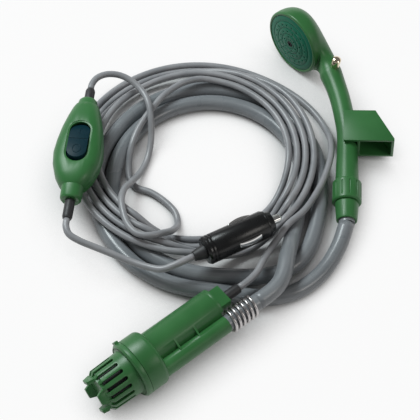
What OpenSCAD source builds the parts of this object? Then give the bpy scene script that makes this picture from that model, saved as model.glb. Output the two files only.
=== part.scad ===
// Camp shower pump: a submersible twelve volt pump, a hand shower on a hose,
// an in-line switch and a lighter plug, laid out on the floor with the hose and
// the cable in loose coils. Millimetres, +Z up, X to the right, Y away.

/* [Pump outside] */
// Height of the feet under the strainer
foot_h = 5.3; // [3:0.1:8]
// Width of one foot where it leaves the strainer
foot_w = 11; // [8:0.1:12]
// Thickness of one foot, measured outwards
foot_t = 2.4; // [2:0.1:3]
// Distance of the feet from the strainer's axis
foot_ring_r = 11.4; // [9:0.1:11.5]
// Length of the strainer in front of its lip
strainer_h = 24.5; // [20:0.5:36]
// Outside radius of the strainer at its lip
strainer_r = 16.1; // [15:0.1:18]
// Outside radius of the strainer at its end
strainer_end_r = 15.4; // [14:0.1:16]
// Chamfer round the strainer's end
strainer_chamfer = 2.6; // [1:0.1:3]
// Wall of the strainer
strainer_wall = 1.8; // [1.2:0.1:2.4]
// Number of slots round the strainer, odd so that a rib faces each slot
slot_count = 17; // [11:2:19]
// Width of one slot
slot_w = 2.7; // [1.5:0.1:3]
// Length of one slot
slot_l = 16.5; // [8:0.5:18]
// Thickness of the strainer's turning lip
lip_h = 4.2; // [3:0.1:6]
// Outside radius of the collar and of the lip
collar_r = 20.4; // [19.5:0.1:26]
// Length of the collar, lip included
collar_h = 19.5; // [19:0.5:30]
// Wall of the collar
collar_wall = 2; // [1.6:0.1:3]
// Rounding of the collar's shoulder
collar_round = 4; // [1:0.5:4.5]
// Outside radius of the motor tube
tube_r = 12.6; // [12.2:0.1:13.2]
// Wall of the motor tube
tube_wall = 1.7; // [1.2:0.1:2]
// Length of the motor tube behind the collar
tube_h = 54; // [52:0.5:80]
// Distance of the motor's axis from the collar's axis
motor_shift = 4; // [3:0.1:4.5]
// Outside radius of the riser pipe beside the motor tube
riser_r = 6.2; // [5.5:0.1:6.8]
// Distance from the motor's axis to the riser's axis
riser_gap = 17; // [16.4:0.1:17.6]
// Thickness of the web between tube and riser
web_t = 6; // [4:0.5:8]
// Bore radius of the riser
riser_bore = 3.4; // [2.5:0.1:3.7]
// Thickness of the wall behind the pump chamber
chamber_wall = 2.4; // [2:0.1:4]
// Thickness of a cross rib between tube and riser
rib_t = 1.2; // [0.8:0.1:2]
// Thickness of the rear cap's disc
cap_disc_t = 2.2; // [1.5:0.1:4]
// Height of the rear cap, block included
cap_h = 11.5; // [9:0.5:16]
// Width of the square block on the rear cap
cap_block = 15; // [11:0.5:15]
// Depth of the rear cap's spigot in the tube
cap_spigot = 6; // [5:0.5:8]
// Radius of the black cable sleeve on the rear cap
gland_r = 3.7; // [3.5:0.1:5]
// Length of the cable sleeve outside the block
gland_h = 13; // [8:0.5:20]

/* [Pump inside] */
// Depth of the strainer's spigot in the collar
spigot_h = 3.5; // [3:0.1:3.8]
// Thickness of the inlet plate
inlet_t = 2; // [1.5:0.1:2.6]
// Radius of the hole in the inlet plate
inlet_hole_r = 5.5; // [4:0.1:7]
// Outside radius of the impeller
impeller_r = 11.5; // [8:0.1:12]
// Height of the impeller
impeller_h = 4.8; // [4:0.1:5.2]
// Number of impeller vanes
vane_count = 6; // [4:1:8]
// Radius of the motor shaft
shaft_r = 1.15; // [1:0.05:1.6]
// Room between the motor can and the end of the tube
can_room = 16.7; // [16:0.1:20]
// Wall of the motor can
can_wall = 0.8; // [0.6:0.1:1]
// Thickness of one magnet
magnet_t = 1.9; // [1.2:0.1:2.2]
// Length of the magnets and of the rotor's iron
iron_h = 22; // [16:0.5:24]
// Air gap between rotor and magnets
air_gap = 0.5; // [0.3:0.1:0.8]
// Outside radius of a shaft bush
bush_r = 3; // [2.6:0.1:3.6]
// Length of a shaft bush
bush_h = 3; // [2:0.1:4]
// Radius of the commutator
commutator_r = 3; // [2.4:0.1:3.6]
// Outside radius of the shaft seal
seal_r = 4; // [3.2:0.1:5]
// Thickness of the motor's rear bell
bell_t = 2.6; // [2:0.1:4]

/* [Handset] */
// Length of the hose ferrule
ferrule_h = 14.8; // [10:0.2:20]
// Radius of the ferrule's hose end
ferrule_r = 7.7; // [7.2:0.1:8.4]
// Radius of the ferrule at the nut
ferrule_top_r = 8.9; // [8:0.1:9.6]
// Length of the coupling nut
nut_h = 18; // [16:0.5:24]
// Outside radius of the coupling nut
nut_r = 10.9; // [10.5:0.1:13]
// Wall of the coupling nut
nut_wall = 1.8; // [1.4:0.1:2]
// Number of grip flutes round the nut
flute_count = 12; // [6:1:18]
// Radius of the handle at the nut
handle_low_r = 8.7; // [8:0.1:9]
// Radius of the handle at the bracket
handle_r = 7.8; // [7.4:0.1:8.2]
// Radius of the handle where it runs into the head
neck_r = 9; // [8.4:0.1:9.8]
// Distance of the hanger bracket above the nut
bracket_rise = 31; // [26:0.5:38]
// Distance of the head above the bracket
head_rise = 68.9; // [66:0.1:74]
// Distance of the head forward of the handle
head_forward = 43.2; // [41:0.1:46]
// Radius of the head
head_r = 27; // [25:0.5:29]
// Depth of the head's domed back
head_dome = 23.2; // [20:0.2:26]
// Height of the head's straight rim
head_rim = 3.4; // [2.6:0.1:6]
// Lean of the head from the handle, degrees
head_lean = 43; // [35:1:50]
// Width of the rim round the spray plate
rim_w = 2.8; // [2:0.1:4]
// Thickness of the spray plate at its edge
plate_t = 2.4; // [1.6:0.1:2.6]
// Height of the spray plate's crown
plate_crown = 2.2; // [1:0.1:3]
// Thickness of the gasket under the spray plate
gasket_t = 0.6; // [0.4:0.1:1]
// Depth of the water chamber behind the plate
chamber_d = 5; // [3:0.5:6]
// Radius of the shut-off pin
pin_r = 3.5; // [2.5:0.1:4]
// How far the shut-off pin stands out
pin_out = 9; // [7:0.5:12]
// Travel of the shut-off pin
pin_travel = 8; // [4:0.5:8]
// Length of the hanger bracket along the handle
bracket_h = 27.5; // [20:0.5:30]
// Depth of the bracket behind the handle at its lower end
bracket_low = 35; // [28:0.5:42]
// Depth of the bracket behind the handle at its upper end
bracket_high = 21; // [18:0.5:26]
// Width of the bracket across the handle
bracket_w = 22.4; // [21.5:0.1:28]
// Wall of the bracket
bracket_wall = 2; // [1.4:0.1:2.4]
// Roll of the bracket round the handle, degrees
bracket_roll = -10; // [-12:1:0]

/* [Switch] */
// Length of the switch
switch_l = 92; // [84:1:104]
// Width of the switch
switch_w = 37; // [34:0.5:44]
// Thickness of the switch
switch_t = 24; // [22:0.5:30]
// Width of the rocker's opening
rocker_slot_w = 15.5; // [14:0.5:18]
// Length of the rocker's opening
rocker_slot_l = 36; // [30:0.5:37]
// Tilt of the rocker from level, degrees
rocker_tilt = 8; // [4:0.5:9]
// Radius of the rocker's pivot pin
pivot_r = 1.2; // [0.8:0.1:1.6]
// Radius of the cable sleeves on the switch
sleeve_r = 3.7; // [3.2:0.1:4.2]
// Length of the sleeve at the supply end, outside
sleeve_top = 12; // [8:0.5:16]
// Length of the sleeve at the plug end, outside
sleeve_low = 16; // [8:0.5:20]

/* [Lighter plug] */
// Radius of the plug's barrel
plug_r = 10.5; // [10.2:0.1:11]
// Length of the plug's barrel
plug_h = 48; // [44:0.5:60]
// Length of the tail boot
boot_h = 9; // [6:0.5:14]
// Length of the nose ring
nose_h = 6; // [4:0.5:9]
// Radius of the sprung tip
tip_r = 3.3; // [2.5:0.1:4]
// How far the tip stands out of the nose ring
tip_out = 8; // [5:0.5:10]
// Travel of the sprung tip
tip_travel = 2.5; // [1:0.5:2.5]
// Length of a side contact
contact_l = 18; // [12:0.5:20]
// Width of a side contact
contact_w = 4; // [2.5:0.1:5]
// How far a side contact bows out of the barrel
contact_bow = 1.6; // [0.6:0.1:1.8]
// Travel of a side contact
contact_travel = 1.2; // [0.6:0.1:1.2]

/* [Hose and cable] */
// Outside radius of the hose
hose_r = 6; // [5.5:0.1:6]
// Bore radius of the hose
hose_bore = 4.6; // [4.2:0.1:4.8]
// Radius of the cable
cable_r = 2.5; // [2:0.1:2.5]
// Turns of the hose coil
hose_turns = 1.708; // [1.69:0.001:1.72]
// Step from one hose turn to the next
hose_step = 13.5; // [13.2:0.1:14]
// Turns of the cable coil
cable_turns = 4.306; // [4.25:0.001:4.35]
// Step from one cable turn to the next
cable_step = 6.4; // [6:0.1:6.6]
// Length of the hose on the pump's spout
cuff_h = 27; // [24:0.5:34]
// Turns of the wire clamp
clamp_turns = 6; // [4:0.5:7]
// Thickness of the clamp's wire
clamp_wire = 2.2; // [1.4:0.1:2.2]

/* [Hidden] */
$fn = 48;

// Colours of the mouldings, rubber and metal
green = [0.2, 0.42, 0.24];
dark_green = [0.17, 0.35, 0.25];
black = [0.09, 0.09, 0.1];
navy = [0.1, 0.2, 0.23];
grey = [0.47, 0.48, 0.49];
steel = [0.72, 0.72, 0.74];
copper = [0.72, 0.45, 0.25];
brass = [0.75, 0.6, 0.3];

// Clearances shared by the pieces that fit together
slip = 0.15;
run = 0.03;
turn_gap = 0.3;
far = 200;
nip = 0.1;

// Where the assemblies lie on the floor
floor_shift = [-28.05, 0.54, 0];
pump_heading = 39;
pump_end = [3.3, -97.8, collar_r] + floor_shift;
handset_yaw = -3.6;
handset_pitch = 4;
handset_roll = 6;
handset_at = [100.4, -17.6, 11.3] + floor_shift;
switch_turn = -5;
switch_at = [-97, 33, 31] + floor_shift;
plug_heading = 28;
plug_at = [-11.5, -57.5, 26.8] + floor_shift;

module at_pump() {
    translate(pump_at) rotate([0, 0, pump_heading]) rotate([0, 90, 0]) children();
}

module at_handset() {
    translate(handset_at) rotate([0, 0, 180 + handset_yaw]) rotate([90 - handset_pitch, 0, 0])
        rotate([0, 0, handset_roll]) children();
}

module at_switch() {
    translate(switch_at) rotate([0, 0, switch_turn]) children();
}

module at_plug() {
    translate(plug_at) rotate([0, 0, plug_heading]) rotate([0, 90, 0]) children();
}

// Shared shapes
module ring(outer, inner, h) {
    difference() {
        cylinder(r = outer, h = h);
        translate([0, 0, -nip]) cylinder(r = inner, h = h + 2 * nip);
    }
}

module round_disc(r, h, edge) {
    rotate_extrude() union() {
        square([r - edge, h]);
        square([r, h - edge]);
        translate([r - edge, h - edge]) intersection() {
            circle(edge);
            square(edge);
        }
    }
}

module o_ring(r, thick) {
    rotate_extrude() translate([r, 0]) circle(thick);
}

module stadium(w, l, h) {
    linear_extrude(h) union() {
        square([w, l - w], center = true);
        for (end = [-1, 1]) translate([0, end * (l - w) / 2]) circle(w / 2);
    }
}

// Sweeps along points
function unit(v) = v / norm(v);
function smooth(t) = let (c = max(0, min(1, t))) c * c * (3 - 2 * c);
function direction(path, i) = unit(path[min(i + 1, len(path) - 1)] - path[max(i - 1, 0)]);
function ring_at(centre, along, r, sides) =
    let (side = unit(cross(along, [0, 0, 1])), top = cross(side, along))
    [for (k = [0 : sides - 1]) centre + r * (cos(k * 360 / sides) * side + sin(k * 360 / sides) * top)];

// Triangles round a stack of rings that each have the same number of points
function skin_faces(rows, sides) = concat(
    [for (i = [0 : rows - 2], k = [0 : sides - 1]) let (n = (k + 1) % sides)
        [i * sides + k, i * sides + n, (i + 1) * sides + n]],
    [for (i = [0 : rows - 2], k = [0 : sides - 1]) let (n = (k + 1) % sides)
        [i * sides + k, (i + 1) * sides + n, (i + 1) * sides + k]],
    [for (k = [1 : sides - 2]) [0, k + 1, k]],
    [for (k = [1 : sides - 2]) let (o = (rows - 1) * sides) [o, o + k, o + k + 1]]
);

module skin(rings) {
    points = [for (r = rings, p = r) p];
    polyhedron(points, skin_faces(len(rings), len(rings[0])));
}

// A round tube through the points, square to the two given end directions
module cord(path, r, sides, start, end) {
    last = len(path) - 1;
    skin([for (i = [0 : last])
        ring_at(path[i], i == 0 ? start : i == last ? end : direction(path, i), r, sides)]);
}

// Stations along the pump, from the feet to the cap
lip_z = foot_h + strainer_h;
collar_z = lip_z + lip_h;
shoulder_z = lip_z + collar_h;
tube_z = shoulder_z + tube_h;
pump_at = pump_end - tube_z * [cos(pump_heading), sin(pump_heading), 0];
cap_z = tube_z + cap_h;
plate_z = collar_z + spigot_h + turn_gap;
chamber_r = collar_r - collar_wall;
bore_r = tube_r - tube_wall;
riser_y = motor_shift - riser_gap;
clamp_r = hose_r + clamp_wire + 2 * slip;
block_y = riser_y + clamp_r + 0.8 + cap_block / 2;
can_r = bore_r - slip;
can_z = shoulder_z + 2 * slip;
can_h = tube_z - can_room - can_z;
bell_z = can_z + can_h;
iron_r = can_r - can_wall - magnet_t - air_gap;
iron_z = can_z + bush_h + 2;
commutator_h = bell_z - iron_z - iron_h - 2.5;
impeller_z = shoulder_z - chamber_wall - 1.4 - impeller_h;
spout_r = hose_bore - slip;
strainer_floor = 2;
lip_edge = 1.2;
tab_w = 6;
tab_out = 1.6;
rib_places = [0.28, 0.58];
spout_rings = 4;
spout_ring_h = 4;

// The motor tube, riser pipe, spout and pump chamber in one moulding
module pump_housing() {
    valley = [tube_r * 0.92, riser_r * 0.9];
    chamber_top = shoulder_z - chamber_wall;
    color(green) at_pump() difference() {
        union() {
            translate([0, 0, collar_z + turn_gap])
                round_disc(collar_r, shoulder_z - collar_z - turn_gap, collar_round);
            translate([0, motor_shift, chamber_top]) cylinder(r = tube_r, h = tube_z - chamber_top);
            translate([0, riser_y, chamber_top]) cylinder(r = riser_r, h = tube_z - chamber_top);
            translate([-web_t / 2, riser_y, chamber_top]) cube([web_t, riser_gap, tube_z - chamber_top]);
            for (place = rib_places) translate([0, 0, shoulder_z + place * tube_h]) linear_extrude(rib_t)
                polygon([[-valley[0], motor_shift - tube_r * 0.35], [valley[0], motor_shift - tube_r * 0.35],
                    [valley[1], riser_y], [-valley[1], riser_y]]);
            translate([0, riser_y, tube_z - nip]) cylinder(r = spout_r - 0.5, h = cuff_h - 2);
            for (k = [0 : spout_rings - 1])
                translate([0, riser_y, tube_z + cuff_h - 2 - (k + 1) * (spout_ring_h + 1)])
                    cylinder(r1 = spout_r, r2 = spout_r - 0.5, h = spout_ring_h);
        }
        translate([0, 0, collar_z]) cylinder(r = chamber_r, h = chamber_top - collar_z);
        translate([0, motor_shift, shoulder_z]) cylinder(r = bore_r, h = tube_h + 1);
        translate([0, motor_shift, chamber_top - nip]) cylinder(r = seal_r, h = chamber_wall + 2 * nip);
        translate([0, riser_y, chamber_top - nip]) cylinder(r = riser_bore, h = tube_h + cuff_h + chamber_wall);
    }
}

// The slotted basket that turns off for cleaning, with its lip and feet
module strainer_basket() {
    inner_r = strainer_r - strainer_wall;
    plug_in_r = chamber_r - turn_gap;
    foot_tip = foot_w * 0.62;
    color(green) at_pump() difference() {
        union() {
            rotate_extrude() polygon([
                [0, foot_h], [strainer_end_r - strainer_chamfer, foot_h],
                [strainer_end_r, foot_h + strainer_chamfer], [strainer_r, lip_z],
                [collar_r - lip_edge, lip_z], [collar_r, lip_z + lip_edge], [collar_r, collar_z],
                [plug_in_r, collar_z], [plug_in_r, collar_z + spigot_h],
                [plug_in_r - strainer_wall, collar_z + spigot_h], [plug_in_r - strainer_wall, collar_z],
                [inner_r, lip_z], [strainer_end_r - strainer_wall, foot_h + strainer_chamfer],
                [strainer_end_r - strainer_chamfer - 1, foot_h + strainer_floor], [0, foot_h + strainer_floor]
            ]);
            for (a = [45 : 90 : 315]) rotate([0, 0, a]) translate([foot_ring_r, 0, 0]) rotate([90, 0, 90])
                linear_extrude(foot_t, center = true) polygon([
                    [-foot_w / 2, foot_h + nip], [foot_w / 2, foot_h + nip],
                    [foot_tip / 2, 0], [-foot_tip / 2, 0]
                ]);
            rotate([0, 0, 120]) translate([collar_r - 1, -tab_w / 2, lip_z + lip_edge])
                cube([1 + tab_out, tab_w, lip_h - lip_edge - turn_gap]);
        }
        for (k = [0 : slot_count - 1]) rotate([0, 0, k * 360 / slot_count]) {
            translate([strainer_end_r - strainer_chamfer, -slot_w / 2, foot_h - 1])
                cube([2 * strainer_chamfer + strainer_wall, slot_w, slot_l + 1]);
            translate([strainer_end_r - strainer_chamfer, 0, foot_h + slot_l]) rotate([0, 90, 0])
                cylinder(r = slot_w / 2, h = 2 * strainer_chamfer + strainer_wall);
        }
        rotate_extrude() translate([collar_r - 2.6, lip_z - nip]) square([0.8, 0.6]);
    }
}

// The plate with the suction hole between the basket and the impeller
module inlet_plate() {
    color(dark_green) at_pump() difference() {
        translate([0, 0, plate_z]) cylinder(r = chamber_r - slip, h = inlet_t);
        translate([0, motor_shift, plate_z - nip]) cylinder(r = inlet_hole_r, h = inlet_t + 2 * nip);
    }
}

module on_motor(z) {
    at_pump() translate([0, motor_shift, z]) children();
}

// Open vanes on a disc, pressed on the motor shaft
module impeller() {
    disc_h = 1.5;
    hub_r = shaft_r + 1.8;
    color(black) on_motor(impeller_z) difference() {
        union() {
            translate([0, 0, impeller_h - disc_h]) cylinder(r = impeller_r, h = disc_h);
            cylinder(r = hub_r, h = impeller_h);
            for (k = [0 : vane_count - 1]) rotate([0, 0, k * 360 / vane_count]) translate([0, shaft_r, 0])
                cube([impeller_r - 0.8, 1.1, impeller_h - disc_h + nip]);
        }
        translate([0, 0, -nip]) cylinder(r = shaft_r, h = impeller_h + 2 * nip);
    }
}

module motor_shaft() {
    color(steel) on_motor(impeller_z) cylinder(r = shaft_r, h = bell_z + bell_t + 1 - impeller_z);
}

// Three-pole iron with its commutator
module motor_rotor() {
    color(copper) on_motor(iron_z) difference() {
        union() {
            cylinder(r = iron_r, h = iron_h);
            cylinder(r = commutator_r, h = iron_h + commutator_h);
        }
        for (k = [0 : 2]) rotate([0, 0, k * 120]) translate([iron_r * 0.5, -1, -nip])
            cube([iron_r, 2, iron_h + nip]);
        translate([0, 0, -nip]) cylinder(r = shaft_r, h = iron_h + commutator_h + 2 * nip);
    }
}

module motor_can() {
    color(steel) on_motor(can_z) difference() {
        cylinder(r = can_r, h = can_h);
        translate([0, 0, can_wall]) cylinder(r = can_r - can_wall, h = can_h);
        translate([0, 0, -nip]) cylinder(r = bush_r, h = 1);
    }
}

module motor_magnets() {
    outer = can_r - can_wall - slip / 2;
    color([0.3, 0.3, 0.32]) on_motor(iron_z) difference() {
        ring(outer, outer - magnet_t, iron_h);
        for (k = [0, 1]) rotate([0, 0, k * 90]) translate([-far / 2, -2, -nip]) cube([far * k, 4, iron_h + 1]);
    }
}

module front_bush() {
    color(brass) on_motor(can_z) ring(bush_r, shaft_r + run, bush_h);
}

module rear_bush() {
    color(brass) on_motor(bell_z) ring(bush_r, shaft_r + run, bell_t);
}

module motor_bell() {
    color(black) on_motor(bell_z) ring(can_r, bush_r, bell_t);
}

// Two carbon blocks that press on the commutator from the bell
module motor_brushes() {
    color([0.2, 0.2, 0.2]) on_motor(bell_z - 4) for (side = [0, 180]) rotate([0, 0, side])
        translate([commutator_r + turn_gap, -1.5, 0]) cube([3, 3, 4]);
}

module shaft_seal() {
    color(black) on_motor(shoulder_z - chamber_wall) ring(seal_r, shaft_r + run, chamber_wall);
}

// The rear cap with the square block that the cable comes out of
module pump_end_cap() {
    spigot_r = bore_r - slip;
    color(green) at_pump() difference() {
        union() {
            translate([0, motor_shift, tube_z]) cylinder(r = tube_r, h = cap_disc_t);
            translate([0, motor_shift, tube_z - cap_spigot]) cylinder(r = spigot_r, h = cap_spigot);
            translate([-cap_block / 2, block_y - cap_block / 2, tube_z]) cube([cap_block, cap_block, cap_h]);
        }
        translate([0, riser_y, tube_z - nip]) cylinder(r = clamp_r + 0.5, h = cap_h + 1);
        translate([0, block_y, tube_z]) cylinder(r = gland_r, h = cap_h + 1);
        translate([0, motor_shift, tube_z - cap_spigot / 2 - 0.9]) ring(tube_r, spigot_r - 1.5, 1.8);
    }
}

module cap_o_ring() {
    color(black) on_motor(tube_z - cap_spigot / 2) o_ring(bore_r - slip - 0.75, 0.7);
}

// The black sleeve that seals the cable in the cap
module cable_gland() {
    sleeve_h = cap_h + gland_h;
    color(black) at_pump() translate([0, block_y, tube_z]) {
        cylinder(r = gland_r, h = sleeve_h - 3);
        translate([0, 0, sleeve_h - 3]) cylinder(r1 = gland_r, r2 = cable_r + 1, h = 3);
    }
}

// The hose's end over the spout
module hose_cuff_pump() {
    color(grey) at_pump() translate([0, riser_y, tube_z + slip]) ring(hose_r, hose_bore, cuff_h - slip);
}

// One unbroken wire wound round the hose
function clamp_points() =
    let (steps = clamp_turns * 12, r = hose_r + 2 * slip + clamp_wire / 2, pitch = (cuff_h - 5) / clamp_turns)
    [for (i = [0 : steps]) [r * cos(i * 30), riser_y + r * sin(i * 30), tube_z + 2 + pitch * i / 12]];

module hose_clamp() {
    path = clamp_points();
    last = len(path) - 1;
    color(steel) at_pump()
        cord(path, clamp_wire / 2, 6, unit(path[1] - path[0]), unit(path[last] - path[last - 1]));
}

// Stations along the handset, from the ferrule to the head
nut_z = ferrule_h + 0.2;
nut_lip = 1.7;
nut_top = nut_z + nut_h;
barb_flange = 2;
washer_t = 1.5;
tail_z = nut_z + nut_lip + barb_flange + washer_t;
tail_r = nut_r - nut_wall - 0.1;
bracket_z = nut_top + bracket_rise;
bracket_top = bracket_z + bracket_h;
bracket_flat = handle_r - 0.4;
head_at = [head_forward, 0, bracket_top + head_rise];
seat_r = head_r - rim_w;
plate_w = gasket_t + plate_t;
pin_at = [0.278 * head_forward, 0, bracket_top + 0.617 * head_rise];
nozzle_r = 0.7;
nozzle_rows = [0.27, 0.47, 0.68];
groove_rows = [0.17, 0.36, 0.57, 0.8];
head_screw_r = 2.6;
screw_shank_r = 1.4;

// Handle rings: distance forward, distance along, radius
handle_rings = [
    [0, tail_z, tail_r], [0, nut_top - 0.1, tail_r], [0, nut_top, handle_low_r],
    [0, nut_top + 0.53 * bracket_rise, handle_low_r - 0.4], [0, bracket_z, handle_r],
    [0.009 * head_forward, bracket_z + 0.51 * bracket_h, handle_r],
    [0.056 * head_forward, bracket_top, handle_r],
    [0.134 * head_forward, bracket_top + 0.24 * head_rise, handle_r + 0.1],
    [0.222 * head_forward, bracket_top + 0.428 * head_rise, handle_r + 0.4]
];

function handle_ring(i, sides) =
    let (n = len(handle_rings) - 1, a = handle_rings[max(i - 1, 0)], b = handle_rings[min(i + 1, n)],
        here = handle_rings[i], straight = i <= 4, along = straight ? [0, 1] : unit([b[0] - a[0], b[1] - a[1]]))
    side_ring([here[0], here[1]] + here[2] * [along[1], -along[0]],
        [here[0], here[1]] - here[2] * [along[1], -along[0]], sides);

// A ring between a front point and a back point of the handset's side view
function side_ring(front, back, sides) =
    let (mid = (front + back) / 2, out = (front - back) / 2, r = norm(out))
    [for (k = [0 : sides - 1]) let (c = cos(k * 360 / sides), s = sin(k * 360 / sides))
        [mid[0] + c * out[0], -r * s, mid[1] + c * out[1]]];

// Front and back lines that turn from the neck to the face of the head
neck_lean = 25.7;
neck_at = [0.317 * head_forward, bracket_top + 0.595 * head_rise];
neck_way = [sin(neck_lean), cos(neck_lean)];
neck_out = neck_r * [cos(neck_lean), -sin(neck_lean)];
neck_reach = 0.45 * head_rise;
chin_back = 0.1 * head_r;
face_way = [cos(head_lean), -sin(head_lean)];
face_down = [-sin(head_lean), -cos(head_lean)];
face_at = [head_at[0], head_at[2]];
function curve(a, b, c, d, t) =
    a * pow(1 - t, 3) + b * 3 * t * pow(1 - t, 2) + c * 3 * t * t * (1 - t) + d * pow(t, 3);
function front_line(t) = let (chin = face_at + head_r * face_down, root = neck_at + neck_out)
    curve(root, root, chin - chin_back * face_way, chin, pow(t, 0.5));
function back_line(t) = let (top = face_at - head_r * face_down, root = neck_at - neck_out)
    curve(root, root + neck_reach * neck_way, top - head_dome / 0.75 * face_way, top, t);

// Rim rings: height over the face, distance in from the edge
rim_rings = [[0.55, 0], [0.82, 0.4], [1, 1.3]];
head_rings = 9;

module at_head() {
    translate(head_at) rotate([0, 90 + head_lean, 0]) children();
}

// Head, neck and handle in one moulding
module handset_shell() {
    sides = 32;
    color(green) at_handset() difference() {
        skin(concat(
            [for (i = [0 : len(handle_rings) - 1]) handle_ring(i, sides)],
            [for (i = [0 : head_rings]) let (t = i / head_rings) side_ring(front_line(t), back_line(t), sides)],
            [for (row = rim_rings) let (mid = face_at + row[0] * head_rim * face_way, r = head_r - row[1])
                side_ring(mid + r * face_down, mid - r * face_down, sides)]
        ));
        at_head() {
            cylinder(r = seat_r + slip, h = head_rim + 1);
            difference() {
                translate([0, 0, -chamber_d]) cylinder(r = seat_r - 3, h = chamber_d + 1);
                translate([0, 0, -chamber_d - nip]) cylinder(r = screw_shank_r + 2, h = chamber_d + nip);
            }
            translate([0, 0, -chamber_d]) cylinder(r = screw_shank_r, h = chamber_d + 1);
        }
        translate([pin_at[0], far / 2, pin_at[2]]) rotate([90, 0, 0]) cylinder(r = pin_r + 0.06, h = far);
        rotate([0, 0, bracket_roll]) translate([-far - bracket_flat, -far / 2, bracket_z])
            cube([far, far, bracket_h]);
        translate([0, 0, tail_z - nip]) cylinder(r = hose_bore - 1, h = 60);
    }
}

// The socket on the back of the handle that hangs it on a hook
module hanger_bracket() {
    front = -3;
    cheek = handle_r + 0.9;
    slope = (bracket_low - bracket_high) / bracket_h;
    color(green) at_handset() rotate([0, 0, bracket_roll]) difference() {
        translate([0, 0, bracket_z]) rotate([90, 0, 0]) linear_extrude(bracket_w, center = true) polygon([
            [-front, 0], [-bracket_low, 0], [-bracket_low, 2], [-bracket_high, bracket_h], [-front, bracket_h]
        ]);
        translate([-bracket_flat, -cheek, bracket_z - 1]) cube([far, 2 * cheek, bracket_h + 2]);
        translate([0, 0, bracket_z]) rotate([90, 0, 0])
            linear_extrude(bracket_w - 2 * bracket_wall, center = true) polygon([
                [-bracket_flat - bracket_wall, -1], [bracket_wall - bracket_low, -1],
                [bracket_wall - bracket_low, 2], [bracket_wall * 1.2 - bracket_high + slope, bracket_h + 1],
                [-bracket_flat - bracket_wall, bracket_h + 1]
            ]);
    }
}

// The crowned rose with its rings and rows of nozzles
module spray_plate() {
    well_r = head_screw_r + slip;
    function face_h(r) = plate_w + plate_crown * (1 - r * r / (seat_r * seat_r));
    color(dark_green) at_handset() at_head() difference() {
        rotate_extrude() polygon(concat(
            [[screw_shank_r, gasket_t], [seat_r, gasket_t], [seat_r, plate_w]],
            [for (row = [len(groove_rows) - 1 : -1 : 0])
                let (r = seat_r * groove_rows[row], floor_h = face_h(r) - 0.4)
                each [[r + 0.5, face_h(r + 0.5)], [r + 0.5, floor_h], [r, floor_h], [r, face_h(r)]]],
            [[well_r, face_h(well_r)], [well_r, plate_w + plate_crown - 1.2],
                [screw_shank_r, plate_w + plate_crown - 1.2]]
        ));
        for (row = [1 : 3], k = [0 : 6 * row - 1]) rotate([0, 0, k * 60 / row])
            translate([seat_r * nozzle_rows[row - 1], 0, 0]) cylinder(r = nozzle_r, h = 20, $fn = 16);
    }
}

module spray_screw() {
    color(steel) at_handset() at_head() difference() {
        union() {
            translate([0, 0, plate_w + plate_crown - 1.2]) cylinder(r = head_screw_r, h = 1.2);
            translate([0, 0, 0.5 - chamber_d])
                cylinder(r = screw_shank_r, h = chamber_d + plate_w + plate_crown - 1.6);
        }
        for (a = [0, 90]) rotate([0, 0, a]) translate([-1.7, -0.4, plate_w + plate_crown - 0.7])
            cube([3.4, 0.8, 1]);
    }
}

module face_gasket() {
    color(black) at_handset() at_head() ring(seat_r, seat_r - 2.6, gasket_t);
}

// The push-through pin that shuts the water off
pin_half = neck_r;
seal_places = [-2.5, 2.5];
seal_thick = 0.5;

module at_pin() {
    at_handset() translate(pin_at) rotate([-90, 0, 0]) children();
}

module stop_pin() {
    nose = pin_r * 0.8;
    color(steel) at_pin() difference() {
        union() {
            translate([0, 0, -pin_half]) cylinder(r = pin_r, h = 2 * pin_half + pin_out - nose);
            translate([0, 0, pin_half + pin_out - nose]) intersection() {
                translate([0, 0, nose - pin_r * 1.4]) sphere(pin_r * 1.4);
                cylinder(r = pin_r, h = nose + 1);
            }
        }
        for (z = seal_places) translate([0, 0, z - seal_thick - 0.05])
            ring(pin_r + 1, pin_r - 2 * seal_thick, 2 * seal_thick + 0.1);
    }
}

module stop_pin_seals() {
    color(black) at_pin() for (z = seal_places) translate([0, 0, z]) o_ring(pin_r - seal_thick, seal_thick);
}

// The union nut that turns freely on the hose end
module coupling_nut() {
    flute = 0.7;
    color(green) at_handset() translate([0, 0, nut_z]) difference() {
        union() {
            cylinder(r1 = nut_r - 0.8, r2 = nut_r, h = 1);
            translate([0, 0, 1]) cylinder(r = nut_r, h = nut_h - 2.2);
            translate([0, 0, nut_h - 1.2]) cylinder(r1 = nut_r, r2 = nut_r - 1.1, h = 1.2);
        }
        translate([0, 0, nut_lip]) cylinder(r = nut_r - nut_wall, h = nut_h);
        translate([0, 0, -nip]) cylinder(r = hose_r + 0.4, h = nut_lip + 1);
        for (k = [0 : flute_count - 1]) rotate([0, 0, k * 360 / flute_count])
            translate([nut_r + flute * 0.35, 0, 3]) cylinder(r = flute, h = nut_h - 6);
    }
}

// The stub that carries the hose, its flange caught in the nut
module hose_barb() {
    color(brass) at_handset() difference() {
        union() {
            translate([0, 0, 1]) cylinder(r = hose_bore - slip, h = nut_z + nut_lip - 1);
            translate([0, 0, nut_z + nut_lip + 0.2])
                cylinder(r = nut_r - nut_wall - 0.4, h = barb_flange - 0.2);
            translate([0, 0, nut_z]) cylinder(r = hose_bore - slip, h = nut_lip + 1);
        }
        translate([0, 0, -1]) cylinder(r = hose_bore - 1.4, h = far);
    }
}

module hose_ferrule() {
    color(green) at_handset() difference() {
        cylinder(r1 = ferrule_r, r2 = ferrule_top_r, h = ferrule_h);
        translate([0, 0, -nip]) cylinder(r = hose_r + slip / 2, h = ferrule_h + 1);
    }
}

module coupling_washer() {
    color(black) at_handset() translate([0, 0, tail_z - washer_t])
        ring(nut_r - nut_wall - 0.4, hose_bore - 1, washer_t);
}

// The hose's end in the ferrule
module hose_cuff_handset() {
    color(grey) at_handset() translate([0, 0, -2]) ring(hose_r, hose_bore, ferrule_h + 1.8);
}

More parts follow.
